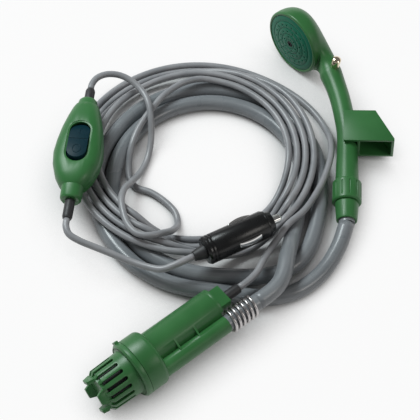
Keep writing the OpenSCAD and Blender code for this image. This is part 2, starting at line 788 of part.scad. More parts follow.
// Outline of the switch along its length: place, half width, half thickness
switch_rows = [
    [-1, 0.35, 0.54], [-0.97, 0.42, 0.6], [-0.76, 0.44, 0.63], [-0.73, 0.56, 0.74], [-0.58, 0.77, 0.92],
    [-0.36, 0.94, 1], [-0.14, 1, 1], [0.1, 0.95, 1], [0.36, 0.85, 0.98], [0.6, 0.71, 0.88], [0.78, 0.58, 0.76],
    [0.86, 0.5, 0.68], [0.88, 0.41, 0.6], [0.97, 0.39, 0.57], [1, 0.33, 0.52]
];
switch_points = 20;
pivot_z = switch_t / 2 - 6;
pocket_w = rocker_slot_w + 2.6;
pocket_l = rocker_slot_l + 8;
switch_screw_y = [-0.62, 0.66];

// Rounded square outline of one half: up is 1 for the upper half and -1 for the lower one
function half_outline(w, t, square, up) = [for (k = [0 : switch_points])
    let (c = cos(k * 180 / switch_points), s = sin(k * 180 / switch_points))
    [up * w * sign(c) * pow(abs(c), square), up * t * pow(abs(s), square)]];

module switch_half(up) {
    skin([for (row = switch_rows) let (square = 1 - 0.3 * row[1])
        [for (p = half_outline(row[1] * switch_w / 2, row[2] * switch_t / 2, square, up))
            [p[0], row[0] * switch_l / 2, p[1]]]]);
}

module sleeve_bores() {
    for (end = [-1, 1]) translate([0, end * (switch_l / 2 - 6), 0]) rotate([-90 * end, 0, 0])
        cylinder(r = sleeve_r, h = 10);
}

module switch_base() {
    color(green) at_switch() difference() {
        switch_half(-1);
        translate([0, 0, 2.4 - switch_t / 2]) stadium(pocket_w, pocket_l, switch_t);
        sleeve_bores();
        for (y = switch_screw_y) translate([0, y * switch_l / 2, -switch_t]) {
            cylinder(r = pivot_r + slip, h = 2 * switch_t);
            cylinder(r = 2.4, h = switch_t - 4);
        }
    }
}

module switch_cover() {
    color(green) at_switch() difference() {
        switch_half(1);
        translate([0, 0, -1]) stadium(pocket_w, pocket_l, switch_t / 2 - 1.8);
        translate([0, 0, -1]) stadium(rocker_slot_w, rocker_slot_l, switch_t);
        translate([0, 0, switch_t / 2 - 1]) stadium(rocker_slot_w + 2.4, rocker_slot_l + 2.4, 2);
        translate([-pocket_w / 2 - 2, 0, pivot_z]) rotate([0, 90, 0]) cylinder(r = pivot_r, h = pocket_w + 4);
        sleeve_bores();
        for (y = switch_screw_y) translate([0, y * switch_l / 2, -1]) cylinder(r = pivot_r, h = 5);
    }
}

// The two-way rocker, resting with its supply end pressed
module switch_rocker() {
    key_w = rocker_slot_w - 0.8;
    key_l = rocker_slot_l - 2.6;
    key_top = switch_t / 2 + 1.2;
    drop = tan(rocker_tilt) * key_l / 2;
    color(navy) at_switch() translate([0, 0, pivot_z]) rotate([-rocker_tilt, 0, 0]) difference() {
        intersection() {
            translate([0, 0, -3]) stadium(key_w, key_l, 20);
            rotate([90, 0, 90]) linear_extrude(far, center = true) polygon([
                [-key_l, -1], [0, -3], [key_l, -1], [key_l, key_top - pivot_z - 2 * drop],
                [0, key_top - pivot_z], [-key_l, key_top - pivot_z - 2 * drop]
            ]);
        }
        rotate([0, 90, 0]) cylinder(r = pivot_r + run, h = far, center = true);
        translate([-key_w / 2, -0.2, key_top - pivot_z - 0.4]) cube([key_w, 0.4, 1]);
    }
}

module rocker_pin() {
    color(steel) at_switch() translate([-pocket_w / 2 - 2, 0, pivot_z]) rotate([0, 90, 0])
        cylinder(r = pivot_r, h = pocket_w + 4);
}

// Brass blades on the floor of the base
module switch_contacts() {
    blade_h = switch_t / 2 - 2.4 - 2;
    color(brass) at_switch() for (y = [-9, 0, 9]) translate([-3, y - 0.5, 2.4 - switch_t / 2]) {
        cube([6, 1, blade_h]);
        translate([0, -1.5, 0]) cube([6, 4, 0.8]);
    }
}

module switch_screws() {
    color(steel) at_switch() for (y = switch_screw_y) translate([0, y * switch_l / 2, -4]) {
        cylinder(r = pivot_r, h = 7.8);
        translate([0, 0, -1.5]) cylinder(r = 2.2, h = 1.5);
    }
}

module switch_sleeve(end, out) {
    color(black) at_switch() translate([0, end * (switch_l / 2 - 5.8), 0]) rotate([-90 * end, 0, 0]) {
        cylinder(r = sleeve_r, h = 5.8 + out - 2);
        translate([0, 0, 5.8 + out - 2]) cylinder(r1 = sleeve_r, r2 = cable_r + 0.6, h = 2);
    }
}

module sleeve_supply() {
    switch_sleeve(1, sleeve_top);
}

module sleeve_plug() {
    switch_sleeve(-1, sleeve_low);
}

// Stations along the plug, from the boot to the tip
barrel_z = boot_h;
nose_z = barrel_z + plug_h;
plug_wall = 3;
plug_floor = 5;
plug_bore = plug_r - plug_wall;
tip_flange = 3;
fuse_r = 3;
contact_z = nose_z - 7 - contact_l;
contact_depth = plug_wall + 0.2;
contact_rise = 20;

// The moulded barrel that fits a lighter socket
module plug_barrel() {
    color(black) at_plug() translate([0, 0, barrel_z]) difference() {
        union() {
            cylinder(r1 = plug_r - 1, r2 = plug_r, h = 1.5);
            translate([0, 0, 1.5]) cylinder(r = plug_r, h = plug_h - 1.5);
        }
        translate([0, 0, plug_floor]) cylinder(r = plug_bore, h = plug_h);
        for (side = [contact_rise, 180 - contact_rise]) rotate([0, 0, side])
            translate([-contact_w / 2 - slip, 0, contact_z - barrel_z - slip])
                cube([contact_w + 2 * slip, far, contact_l + 2 * slip]);
        for (z = [3, 5.4]) translate([0, 0, z]) ring(plug_r + 1, plug_r - 0.6, 1);
    }
}

module plug_boot() {
    color(black) at_plug() cylinder(r1 = cable_r + 1.1, r2 = cable_r + 3, h = boot_h);
}

// The screwed ring that holds the tip in
module plug_nose() {
    nose_r = plug_r - 1.9;
    color(black) at_plug() translate([0, 0, nose_z]) difference() {
        union() {
            cylinder(r = plug_r - 0.8, h = 2);
            translate([0, 0, 2]) cylinder(r1 = nose_r, r2 = nose_r - 1, h = nose_h - 2);
        }
        translate([0, 0, -nip]) cylinder(r = tip_r + 0.08, h = nose_h + 1);
    }
}

module plug_tip() {
    ball = tip_r * 1.15;
    length = tip_flange + nose_h + tip_out;
    color(steel) at_plug() translate([0, 0, nose_z - tip_flange]) {
        cylinder(r = plug_bore - 0.4, h = tip_flange - 0.3);
        intersection() {
            cylinder(r = tip_r, h = length);
            translate([0, 0, length - ball]) union() {
                sphere(ball);
                translate([0, 0, -far]) cylinder(r = tip_r, h = far);
            }
        }
    }
}

module plug_fuse() {
    start = barrel_z + plug_floor;
    color([0.85, 0.85, 0.8]) at_plug() translate([0, 0, start])
        cylinder(r = fuse_r, h = nose_z - tip_flange - tip_travel - 0.5 - start);
}

// A bowed strip of spring steel, carried in a window of the barrel
module side_contact(side) {
    bow_r = (contact_l * contact_l / 4 + contact_bow * contact_bow) / (2 * contact_bow);
    color(steel) at_plug() rotate([0, 0, side]) translate([0, 0, contact_z + contact_l / 2]) rotate([0, -90, 0])
        linear_extrude(contact_w, center = true) {
            translate([-contact_l / 2, plug_r - contact_depth]) square([contact_l, contact_depth - 0.5]);
            intersection() {
                translate([0, plug_r + contact_bow - bow_r]) circle(bow_r, $fn = 96);
                translate([-contact_l / 2, plug_r - 0.6]) square([contact_l, contact_bow + 1]);
            }
        }
}

module contact_near() {
    side_contact(180 - contact_rise);
}

module contact_far() {
    side_contact(contact_rise);
}

// The hose coil: a flat spiral on the floor that opens outwards, narrower than it is deep.
// Its second turn bulges to go round under the lead that comes from the pump.
hose_centre = [1.8, 22.6, 0] + floor_shift;
hose_start_r = 71.8;
hose_start_a = -20;
hose_narrow = 0.95;
hose_sides = 12;
loop_rings = 36;
bulge_turn = 0.917;
bulge_width = 24;
bulge_out = 13;
function hose_bulge(turn) = bulge_out * exp(-pow((turn - bulge_turn) * 360 / bulge_width, 2));
function hose_radius(turn) = hose_start_r + hose_step * turn + hose_bulge(turn);
function hose_point(turn) = let (a = hose_start_a + 360 * turn)
    hose_centre + [hose_narrow * hose_radius(turn) * cos(a), hose_radius(turn) * sin(a), hose_r];

// The cable coil lies partly on the hose: this is its height over a point of the floor
lift_ramp = 13;
lead_back = 45;
lead_open = 0.42;
cable_floor = cable_r + 0.1;
lift_top = 2 * hose_r + cable_r + 0.9;
lift_reach = hose_r + cable_r + 0.9;
function cable_height(p) =
    let (d = [(p[0] - hose_centre[0]) / hose_narrow, p[1] - hose_centre[1]], rho = norm(d),
        turn = ((atan2(d[1], d[0]) - hose_start_a + lead_back + 720) % 360 - lead_back) / 360,
        inner = hose_radius(turn) + lead_open * max(0, -360 * turn),
        outer = hose_radius(turn + 1 <= hose_turns ? turn + 1 : turn),
        gap = max(inner - lift_reach - rho, rho - outer - lift_reach, 0))
    cable_floor + (lift_top - cable_floor) * (1 - smooth(gap / lift_ramp));

// The cable coil winds inwards from the pump, its first turn bowed out over the hose
cable_centre = [-11.5, 45, 0] + floor_shift;
cable_start_r = 97.5;
cable_start_a = -35;
cable_sides = 8;
bow_out = 9;
bow_turn = 0.139;
bow_width = 30;
function on_floor(r, a) = cable_centre + r * [cos(a), sin(a), 0];
function draped(p) = [p[0], p[1], cable_height(p)];
function cable_bow(turn) = bow_out * exp(-pow((turn - bow_turn) * 360 / bow_width, 2));
function cable_point(turn) =
    draped(on_floor(cable_start_r - cable_step * turn + cable_bow(turn), cable_start_a + 360 * turn));

hose_path = [for (i = [0 : ceil(hose_turns * loop_rings)]) hose_point(min(i / loop_rings, hose_turns))];
cable_path = [for (i = [0 : ceil(cable_turns * loop_rings)]) cable_point(min(i / loop_rings, cable_turns))];

// Least gap between turns of one coil, measured on its points
function least_gap(path, r, apart) =
    min([for (i = [0 : len(path) - apart - 1], j = [i + apart : len(path) - 1])
        norm(path[i] - path[j])]) - 2 * r;
echo(hose_coil_gap = least_gap(hose_path, hose_r, 18), cable_coil_gap = least_gap(cable_path, cable_r, 18));
clamp_path = clamp_points();
echo(clamp_gap = least_gap(clamp_path, clamp_wire / 2, 7));

function run_length(path) = len(path) < 2 ? 0 : [for (i = [1 : len(path) - 1]) norm(path[i] - path[i - 1])]
    * [for (i = [1 : len(path) - 1]) 1];

// Ends of the cords at the pieces that they leave
function turned(v, a) = [v[0] * cos(a) - v[1] * sin(a), v[0] * sin(a) + v[1] * cos(a), v[2]];
pump_way = turned([1, 0, 0], pump_heading);
function pump_place(y, z) = pump_at + turned([z, y, 0], pump_heading);
spout_end = pump_place(riser_y, tube_z + cuff_h);
gland_end = pump_place(block_y, tube_z + cap_h + gland_h);
handset_way = turned([0, cos(handset_pitch), sin(handset_pitch)], handset_yaw);
ferrule_end = handset_at - 2 * handset_way;
switch_way = turned([0, 1, 0], switch_turn);
supply_end = switch_at + (switch_l / 2 + sleeve_top) * switch_way;
lead_end = switch_at - (switch_l / 2 + sleeve_low) * switch_way;
plug_way = turned([1, 0, 0], plug_heading);
function shifted(route) = [for (p = route) p + floor_shift];
function tail(path) = path[len(path) - 1];

// Free stretches, as points chosen on the floor plan
hose_pump_route = concat([spout_end, spout_end + 13 * pump_way], shifted([[48.6, -75.6, 20.4],
    [52.4, -66.5, 20.2], [54.3, -56.5, 19.3], [57, -44, 16.2], [60.4, -28, 8.7], [64, -13, 6.2]]),
    [hose_path[0]]);
hose_handset_route = concat([tail(hose_path)], shifted([[-33, -65.5, 6], [-16, -71, 6], [0, -73.4, 6],
    [13, -75.5, 6], [38, -79, 6], [60, -74.5, 6], [79.5, -59.5, 6.2], [93, -39, 8.5]]), [ferrule_end]);
cable_pump_route = concat([gland_end, gland_end + 8 * pump_way], shifted([[33, -66.5, 20.2], [38, -56, 19.6],
    [43.5, -45.5, 18.6], [50, -35, 17.6], [57, -23.5, 16.6]]), [cable_path[0]]);
cable_switch_route = concat([tail(cable_path)], shifted([[-8, 113.5, 17.2], [-22, 108, 18.4], [-35, 97, 18.4],
    [-46, 82, 17], [-54, 68, 15.4], [-59.5, 53, 12.5], [-62, 39, 6], [-61, 27, 2.8], [-56, 19, 2.6],
    [-45, 14.5, 2.6], [-34, 6, 2.6], [-26, -4, 2.6], [-24, -14, 3], [-27, -25, 11], [-34, -33, 19.4],
    [-43, -37, 22.4], [-52, -35.5, 22.4], [-59, -28, 22.2], [-63, -17, 22.2], [-65, -5, 21.6],
    [-63.5, 7, 18], [-59, 18, 11], [-53, 31, 5], [-48, 45, 4], [-45.5, 59, 9], [-45.5, 72, 18.5],
    [-47.5, 84, 23], [-52.5, 95, 24], [-60, 103, 25.8], [-70, 107.5, 28.5], [-80, 107, 30.5],
    [-87.5, 103, 31]]), [supply_end + 5 * switch_way, supply_end]);
cable_plug_route = concat([lead_end, lead_end - 5 * switch_way], shifted([[-100.5, -40.5, 30], [-93, -45, 28],
    [-82, -48.5, 25], [-70, -52.5, 22.4], [-57, -57.5, 20.6], [-44.5, -62.5, 21], [-33.5, -66, 23.6]]),
    [plug_at - 14 * plug_way, plug_at - 6 * plug_way, plug_at]);

echo(hose_length = run_length(hose_pump_route) + run_length(hose_path) + run_length(hose_handset_route));
echo(supply_cable_length =
    run_length(cable_pump_route) + run_length(cable_path) + run_length(cable_switch_route));
echo(plug_cable_length = run_length(cable_plug_route));

module hose_run(path, start, end) {
    color(grey) cord(path, hose_r, hose_sides, start, end);
}

module cable_run(path, start, end) {
    color(grey) cord(path, cable_r, cable_sides, start, end);
}

module hose_pump_lead() {
    hose_run(hose_pump_route, pump_way, direction(hose_path, 0));
}

module hose_coil() {
    hose_run(hose_path, direction(hose_path, 0), direction(hose_path, len(hose_path) - 1));
}

module hose_handset_lead() {
    hose_run(hose_handset_route, direction(hose_path, len(hose_path) - 1), handset_way);
}

module cable_pump_lead() {
    cable_run(cable_pump_route, pump_way, direction(cable_path, 0));
}

module cable_coil() {
    cable_run(cable_path, direction(cable_path, 0), direction(cable_path, len(cable_path) - 1));
}

module cable_switch_lead() {
    cable_run(cable_switch_route, direction(cable_path, len(cable_path) - 1), -switch_way);
}

module cable_plug_lead() {
    cable_run(cable_plug_route, -switch_way, plug_way);
}

pump_housing();
pump_end_cap();
cap_o_ring();
cable_gland();
strainer_basket();
inlet_plate();
impeller();
motor_shaft();
motor_rotor();
motor_can();
motor_magnets();
front_bush();
rear_bush();
motor_bell();
motor_brushes();
shaft_seal();
hose_cuff_pump();
hose_clamp();
handset_shell();
hanger_bracket();
spray_plate();
spray_screw();
face_gasket();
stop_pin();
stop_pin_seals();
coupling_nut();
hose_barb();
hose_ferrule();
coupling_washer();
hose_cuff_handset();
switch_base();
switch_cover();
switch_rocker();
rocker_pin();
switch_contacts();
switch_screws();
sleeve_supply();
sleeve_plug();
plug_barrel();
plug_boot();
plug_nose();
plug_tip();
plug_fuse();
contact_near();
contact_far();
hose_pump_lead();
hose_coil();
hose_handset_lead();
cable_pump_lead();
cable_coil();
cable_switch_lead();
cable_plug_lead();
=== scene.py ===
import math

import bmesh
import bpy
from mathutils import Matrix, Vector


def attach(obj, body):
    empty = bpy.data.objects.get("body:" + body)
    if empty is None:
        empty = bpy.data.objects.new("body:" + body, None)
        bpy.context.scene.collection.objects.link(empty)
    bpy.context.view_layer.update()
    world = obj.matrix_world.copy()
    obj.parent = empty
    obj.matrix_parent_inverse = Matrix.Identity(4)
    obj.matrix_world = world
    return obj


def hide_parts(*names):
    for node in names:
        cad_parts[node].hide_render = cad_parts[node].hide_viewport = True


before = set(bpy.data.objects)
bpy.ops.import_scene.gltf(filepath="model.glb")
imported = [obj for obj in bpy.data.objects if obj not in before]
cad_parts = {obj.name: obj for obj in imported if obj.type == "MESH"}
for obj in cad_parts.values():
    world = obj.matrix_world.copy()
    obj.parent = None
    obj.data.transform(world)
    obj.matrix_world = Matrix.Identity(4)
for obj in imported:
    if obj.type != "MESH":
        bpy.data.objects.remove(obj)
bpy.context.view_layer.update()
scene = bpy.context.scene
scene.view_settings.view_transform = "Standard"

# The studio: a round sheet of pale paper that curls up all round the set, lit by a large, cool soft
# box on the left and a weaker, warmer one on the right. The camera looks down on the coils from the
# near side.
MM = 0.001
lay_shift = Vector((-28.05, 0.54, 0.0))
sensor_width = 36.0
focal_pixels = 1200.0
picture_pixels = 420.0
view_tilt = math.radians(56)
view_distance = 0.9
sky_level = 0.18


def add(tree, kind, inputs=None, **settings):
    node = tree.nodes.new(kind)
    for key, value in settings.items():
        setattr(node, key, value)
    for key, value in (inputs or {}).items():
        if isinstance(value, bpy.types.NodeSocket):
            tree.links.new(value, node.inputs[key])
        else:
            node.inputs[key].default_value = value
    return node


def linear(hex_colour):
    channels = [int(hex_colour[i:i + 2], 16) / 255 for i in (1, 3, 5)]
    return tuple(c / 12.92 if c <= 0.04045 else ((c + 0.055) / 1.055) ** 2.4
                 for c in channels) + (1.0,)


def new_object(name, data):
    obj = bpy.data.objects.new(name, data)
    scene.collection.objects.link(obj)
    return obj


def mesh_data(mesh, name):
    data = bpy.data.meshes.new(name)
    mesh.to_mesh(data)
    mesh.free()
    return data


def round_turn(sides):
    return [2 * math.pi * k / sides for k in range(sides)]


def bridge(mesh, first, second):
    # Four-sided faces between two rings of points
    faces = []
    for k in range(len(first)):
        n = (k + 1) % len(first)
        faces.append(mesh.faces.new((first[k], first[n], second[n], second[k])))
    return faces


camera_data = bpy.data.cameras.new("camera")
camera_data.sensor_width = sensor_width
camera_data.lens = sensor_width * focal_pixels / picture_pixels
camera_data.clip_end = 20.0
camera = new_object("camera", camera_data)
aim = lay_shift * MM
camera.location = aim + view_distance * Vector((0.0, -math.cos(view_tilt), math.sin(view_tilt)))
camera.rotation_euler = (aim - camera.location).to_track_quat("-Z", "Y").to_euler()
scene.camera = camera

paper_level = -0.0004
cove_start = 2.4
cove_radius = 0.6
wall_top = 0.8
paper_sides = 96
paper_profile = []
for bend in (math.radians(degrees) for degrees in range(0, 91, 10)):
    paper_profile.append((cove_start + cove_radius * math.sin(bend),
                          paper_level + cove_radius * (1 - math.cos(bend))))
paper_profile.append((cove_start + cove_radius, wall_top))
sheet = bmesh.new()
paper_rows = [[sheet.verts.new((out * math.cos(a), out * math.sin(a), high))
               for a in round_turn(paper_sides)] for out, high in paper_profile]
sheet.faces.new(paper_rows[0])
for low, high in zip(paper_rows, paper_rows[1:]):
    for face in bridge(sheet, high, low):
        face.smooth = True
paper = new_object("paper", mesh_data(sheet, "paper"))

# Matt paper: seen directly, in a mirror or through glass it is white, and darker close under the
# set: a painted shadow, where its white glow fades as the pieces cover it closely. The light that
# it throws back on the pieces is that of a pale grey sheet.
paper_white = bpy.data.materials.new("white paper")
paper_white.use_nodes = True
tree = paper_white.node_tree
tree.nodes.clear()
rays = add(tree, "ShaderNodeLightPath")
mirrored = add(tree, "ShaderNodeMath", {
    0: rays.outputs["Is Camera Ray"], 1: rays.outputs["Is Glossy Ray"]}, operation="MAXIMUM")
seen = add(tree, "ShaderNodeMath", {
    0: mirrored.outputs[0], 1: rays.outputs["Is Transmission Ray"]}, operation="MAXIMUM")
# Painted shadow: the white glow fades where the pieces cover the paper closely.
painted_shadow_cover = add(tree, "ShaderNodeAmbientOcclusion", {"Distance": 50 * MM}, samples=8)
painted_shadow_glow = add(tree, "ShaderNodeMapRange", {
    "Value": painted_shadow_cover.outputs["AO"], "From Min": 0.3, "From Max": 0.85, "To Max": 0.93})
share = add(tree, "ShaderNodeMath", {0: seen.outputs[0], 1: painted_shadow_glow.outputs[0]}, operation="MULTIPLY")
matt = add(tree, "ShaderNodeBsdfDiffuse", {"Color": linear("#c4c4c4")})
glow = add(tree, "ShaderNodeEmission", {"Color": linear("#ffffff"), "Strength": 1.0})
both = add(tree, "ShaderNodeMixShader", {
    0: share.outputs[0], 1: matt.outputs[0], 2: glow.outputs[0]})
add(tree, "ShaderNodeOutputMaterial", {"Surface": both.outputs[0]})
paper.data.materials.append(paper_white)

world = bpy.data.worlds.new("studio")
world.use_nodes = True
world.node_tree.nodes["Background"].inputs["Color"].default_value = linear("#ffffff")
world.node_tree.nodes["Background"].inputs["Strength"].default_value = sky_level
scene.world = world

for name, place, size, power, tint in (
    ("soft box left", (-0.6, 0.5, 1.0), 0.6, 12.5, (0.9, 0.99, 1.0)),
    ("soft box right", (0.9, -0.5, 0.9), 0.5, 2.6, (1.0, 0.97, 0.92)),
):
    lamp_data = bpy.data.lights.new(name, "AREA")
    lamp_data.shape = "DISK"
    lamp_data.size = size
    lamp_data.energy = power
    lamp_data.color = tint
    lamp = new_object(name, lamp_data)
    lamp.location = Vector(place)
    lamp.rotation_euler = (-Vector(place)).to_track_quat("-Z", "Y").to_euler()

# The hose: 12 mm soft vinyl tube, extruded, from the pump's spout round a loose coil of nearly two
# turns on the floor to the hand shower's ferrule. Its second turn goes round under the pump's lead.
hose_radius = 6.0
hose_sides = 24
hose_step = 4.0
hose_turns = 1.708
hose_start = -20
hose_middle = Vector((1.8, 22.6))
hose_squash = 0.95
hose_inner = 71.8
hose_growth = 13.5
hose_bulge = 13.0
hose_bulge_turn = 0.917
hose_bulge_width = 24
turn_steps = 36
pump_heading = 39.0
pump_rear = Vector((3.3, -97.8, 20.4)) + lay_shift
pump_reach = 103.3
spout_side = -13.0
spout_reach = 130.3
spout_lead = 13
handset_place = Vector((100.4, -17.6, 11.3)) + lay_shift
handset_yaw = -3.6
handset_pitch = 4.0
ferrule_lead = 2


def turned(vector, degrees):
    return Matrix.Rotation(math.radians(degrees), 3, "Z") @ Vector(vector)


def shifted(route):
    return [Vector(point) + lay_shift for point in route]


def swell(turn, middle, width):
    # A smooth rise from 0 to 1 and back, round one place of a coil, its width in degrees
    return math.exp(-(((turn - middle) * 360 / width) ** 2))


def hose_out(turn):
    bulge = hose_bulge * swell(turn, hose_bulge_turn, hose_bulge_width)
    return hose_inner + hose_growth * turn + bulge


def hose_spiral(turn):
    out = hose_out(turn)
    angle = math.radians(hose_start + 360 * turn)
    flat = Vector((hose_squash * out * math.cos(angle), out * math.sin(angle))) + hose_middle
    return Vector((flat.x, flat.y, hose_radius)) + lay_shift


def wound_route(spiral, turns):
    return [spiral(min(i / turn_steps, turns)) for i in range(math.ceil(turns * turn_steps) + 1)]


def smooth_route(points, step):
    # Centripetal curve through the points, resampled to even steps in millimetres
    pieces = 24
    ends = [2 * points[0] - points[1]] + points + [2 * points[-1] - points[-2]]
    dense = []
    for a, b, c, d in zip(ends, ends[1:], ends[2:], ends[3:]):
        t1 = (b - a).length ** 0.5
        t2 = t1 + (c - b).length ** 0.5
        t3 = t2 + (d - c).length ** 0.5
        for i in range(pieces):
            t = t1 + (t2 - t1) * i / pieces
            share_bc = (t - t1) / (t2 - t1)
            ab = a.lerp(b, t / t1)
            bc = b.lerp(c, share_bc)
            cd = c.lerp(d, (t - t2) / (t3 - t2))
            dense.append(ab.lerp(bc, t / t2).lerp(bc.lerp(cd, (t - t1) / (t3 - t1)), share_bc))
    dense.append(points[-1])
    total = sum((q - p).length for p, q in zip(dense, dense[1:]))
    count = max(2, round(total / step))
    even = [dense[0]]
    gone = 0.0
    for p, q in zip(dense, dense[1:]):
        span = (q - p).length
        while span > 0 and len(even) < count and gone + span >= total / count * len(even):
            even.append(p.lerp(q, (total / count * len(even) - gone) / span))
        gone += span
    even.append(dense[-1])
    return even, total


def tube_mesh(name, path, radius, sides):
    # A closed round tube along the path, with its length in millimetres in the UV map
    mesh = bmesh.new()
    uv = mesh.loops.layers.uv.new("along")
    rings = []
    reach = []
    side = Vector((0, 0, 1)).cross(path[1] - path[0]).normalized()
    gone = 0.0
    for i, point in enumerate(path):
        along = (path[min(i + 1, len(path) - 1)] - path[max(i - 1, 0)]).normalized()
        side = (side - along * side.dot(along)).normalized()
        top = along.cross(side)
        gone += (point - path[i - 1]).length if i else 0.0
        reach.append(gone)
        rings.append([
            mesh.verts.new((point + radius * (math.cos(a) * side + math.sin(a) * top)) * MM)
            for a in round_turn(sides)])
    for i in range(len(rings) - 1):
        for k, face in enumerate(bridge(mesh, rings[i], rings[i + 1])):
            face.smooth = True
            corners = ((i, k), (i, k + 1), (i + 1, k + 1), (i + 1, k))
            for loop, (row, column) in zip(face.loops, corners):
                loop[uv].uv = (column / sides, reach[row])
    mesh.faces.new(list(reversed(rings[0])))
    mesh.faces.new(rings[-1])
    return mesh_data(mesh, name)


def new_finish(name, constants):
    # A material with the values that are the same all over it set on its shader
    material = bpy.data.materials.new(name)
    material.use_nodes = True
    shader = material.node_tree.nodes["Principled BSDF"]
    for socket, value in constants.items():
        shader.inputs[socket].default_value = value
    return material, material.node_tree, shader


def coat(tree, shader, shade, gloss, relief=None):
    tree.links.new(shade.outputs[2], shader.inputs["Base Color"])
    tree.links.new(gloss.outputs[0], shader.inputs["Roughness"])
    if relief:
        tree.links.new(relief.outputs[0], shader.inputs["Normal"])


def dress(obj, material, body, slot, *nodes):
    obj.data.materials.clear()
    obj.data.materials.append(material)
    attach(obj, body)
    if nodes:
        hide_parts(*nodes)


def paint(material, *nodes):
    # Solids that are shown as they are take their finish from here
    for node in nodes:
        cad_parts[node].data.materials.clear()
        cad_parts[node].data.materials.append(material)


pump_way = turned((1, 0, 0), pump_heading)
pump_place = pump_rear - pump_reach * pump_way
spout_end = pump_place + turned((spout_reach, spout_side, 0), pump_heading)
handset_rise = math.radians(handset_pitch)
handset_way = turned((0, math.cos(handset_rise), math.sin(handset_rise)), handset_yaw)
ferrule_end = handset_place - ferrule_lead * handset_way
hose_route = [spout_end, spout_end + spout_lead * pump_way]
hose_route += shifted([
    (48.6, -75.6, 20.4), (52.4, -66.5, 20.2), (54.3, -56.5, 19.3), (57, -44, 16.2),
    (60.4, -28, 8.7), (64, -13, 6.2)])
hose_route += wound_route(hose_spiral, hose_turns)
hose_route += shifted([
    (-33, -65.5, 6), (-16, -71, 6), (0, -73.4, 6), (13, -75.5, 6), (38, -79, 6),
    (60, -74.5, 6), (79.5, -59.5, 6.2), (93, -39, 8.5)])
hose_route += [ferrule_end]
hose_path, hose_length = smooth_route(hose_route, hose_step)

# Soft vinyl, extruded: smoke grey and a little see-through, so it is soft at its edges; faint die
# lines run along it, drawn about 2 mm apart round the tube so that they show.
die_lines = 18.0
die_line_run = 50.0
hose_vinyl, tree, shader = new_finish("grey soft vinyl hose", {
    "IOR": 1.53, "Subsurface Weight": 0.12, "Subsurface Radius": (0.004, 0.004, 0.004),
    "Subsurface Scale": 0.5})
place = add(tree, "ShaderNodeUVMap", uv_map="along")
lines = add(tree, "ShaderNodeMapping", {
    "Vector": place.outputs[0], "Scale": (die_lines, 1 / die_line_run, 1.0)})
drawn = add(tree, "ShaderNodeTexNoise", {"Vector": lines.outputs[0], "Scale": 1.0, "Detail": 3.0})
where = add(tree, "ShaderNodeTexCoord")
cloud = add(tree, "ShaderNodeTexNoise", {
    "Vector": where.outputs["Object"], "Scale": 1 / (30 * MM), "Detail": 3.0})
mixed = add(tree, "ShaderNodeMath", {
    0: drawn.outputs["Fac"], 1: cloud.outputs["Fac"]}, operation="ADD")
tone = add(tree, "ShaderNodeMapRange", {
    "Value": mixed.outputs[0], "From Min": 0.7, "From Max": 1.3})
grey = add(tree, "ShaderNodeMix", {
    0: tone.outputs[0], 6: linear("#767a7e"), 7: linear("#8b8e92")}, data_type="RGBA")
gloss = add(tree, "ShaderNodeMapRange", {
    "Value": cloud.outputs["Fac"], "To Min": 0.2, "To Max": 0.34})
relief = add(tree, "ShaderNodeBump", {
    "Height": drawn.outputs["Fac"], "Strength": 0.12, "Distance": 0.4 * MM})
coat(tree, shader, grey, gloss, relief)

hose = new_object("shower_hose", tube_mesh("shower_hose", hose_path, hose_radius, hose_sides))
dress(hose, hose_vinyl, "fixed_pieces", "grey_hose",
      "hose_pump_lead", "hose_coil", "hose_handset_lead")
paint(hose_vinyl, "hose_cuff_pump", "hose_cuff_handset")

# The supply cable: 5 mm round vinyl cable, from the pump's black sleeve over the hose, four turns
# inwards in a loose coil that lies partly on the hose, then a small loop and up to the switch.
cable_radius = 2.5
cable_sides = 16
cable_step = 2.5
cable_turns = 4.306
cable_start = -35
cable_middle = Vector((-11.5, 45))
cable_outer = 97.5
cable_growth = -6.4
cable_bulge = 9.0
cable_bulge_turn = 0.139
cable_bulge_width = 30
cable_floor = 2.6
cable_climb = 12.8
climb_run = 13.0
hose_shoulder = 9.4
lead_angle = 45
lead_spread = 0.42
gland_reach = 127.8
gland_side = 3.8
gland_lead = 8
switch_place = Vector((-97.0, 33.0, 31.0)) + lay_shift
switch_turn = -5.0
switch_upper = 58
switch_lead = 5


def ease(value):
    value = max(0.0, min(1.0, value))
    return value * value * (3 - 2 * value)


def draped(point):
    # Height of a cable that lies on the floor, or on the hose where the hose is under it
    dx = (point.x - lay_shift.x - hose_middle.x) / hose_squash
    dy = point.y - lay_shift.y - hose_middle.y
    out = math.hypot(dx, dy)
    angle = (math.degrees(math.atan2(dy, dx)) - hose_start + lead_angle) % 360 - lead_angle
    turn = angle / 360
    inner = hose_out(turn) + lead_spread * max(0.0, -angle)
    outer = hose_out(turn + 1 if turn + 1 <= hose_turns else turn)
    gap = max(inner - hose_shoulder - out, out - outer - hose_shoulder, 0.0)
    return Vector((point.x, point.y, cable_floor + cable_climb * (1 - ease(gap / climb_run))))


def cable_spiral(turn):
    bulge = cable_bulge * swell(turn, cable_bulge_turn, cable_bulge_width)
    out = cable_outer + cable_growth * turn + bulge
    angle = math.radians(cable_start + 360 * turn)
    flat = out * Vector((math.cos(angle), math.sin(angle))) + cable_middle
    return draped(Vector((flat.x, flat.y, 0)) + lay_shift)


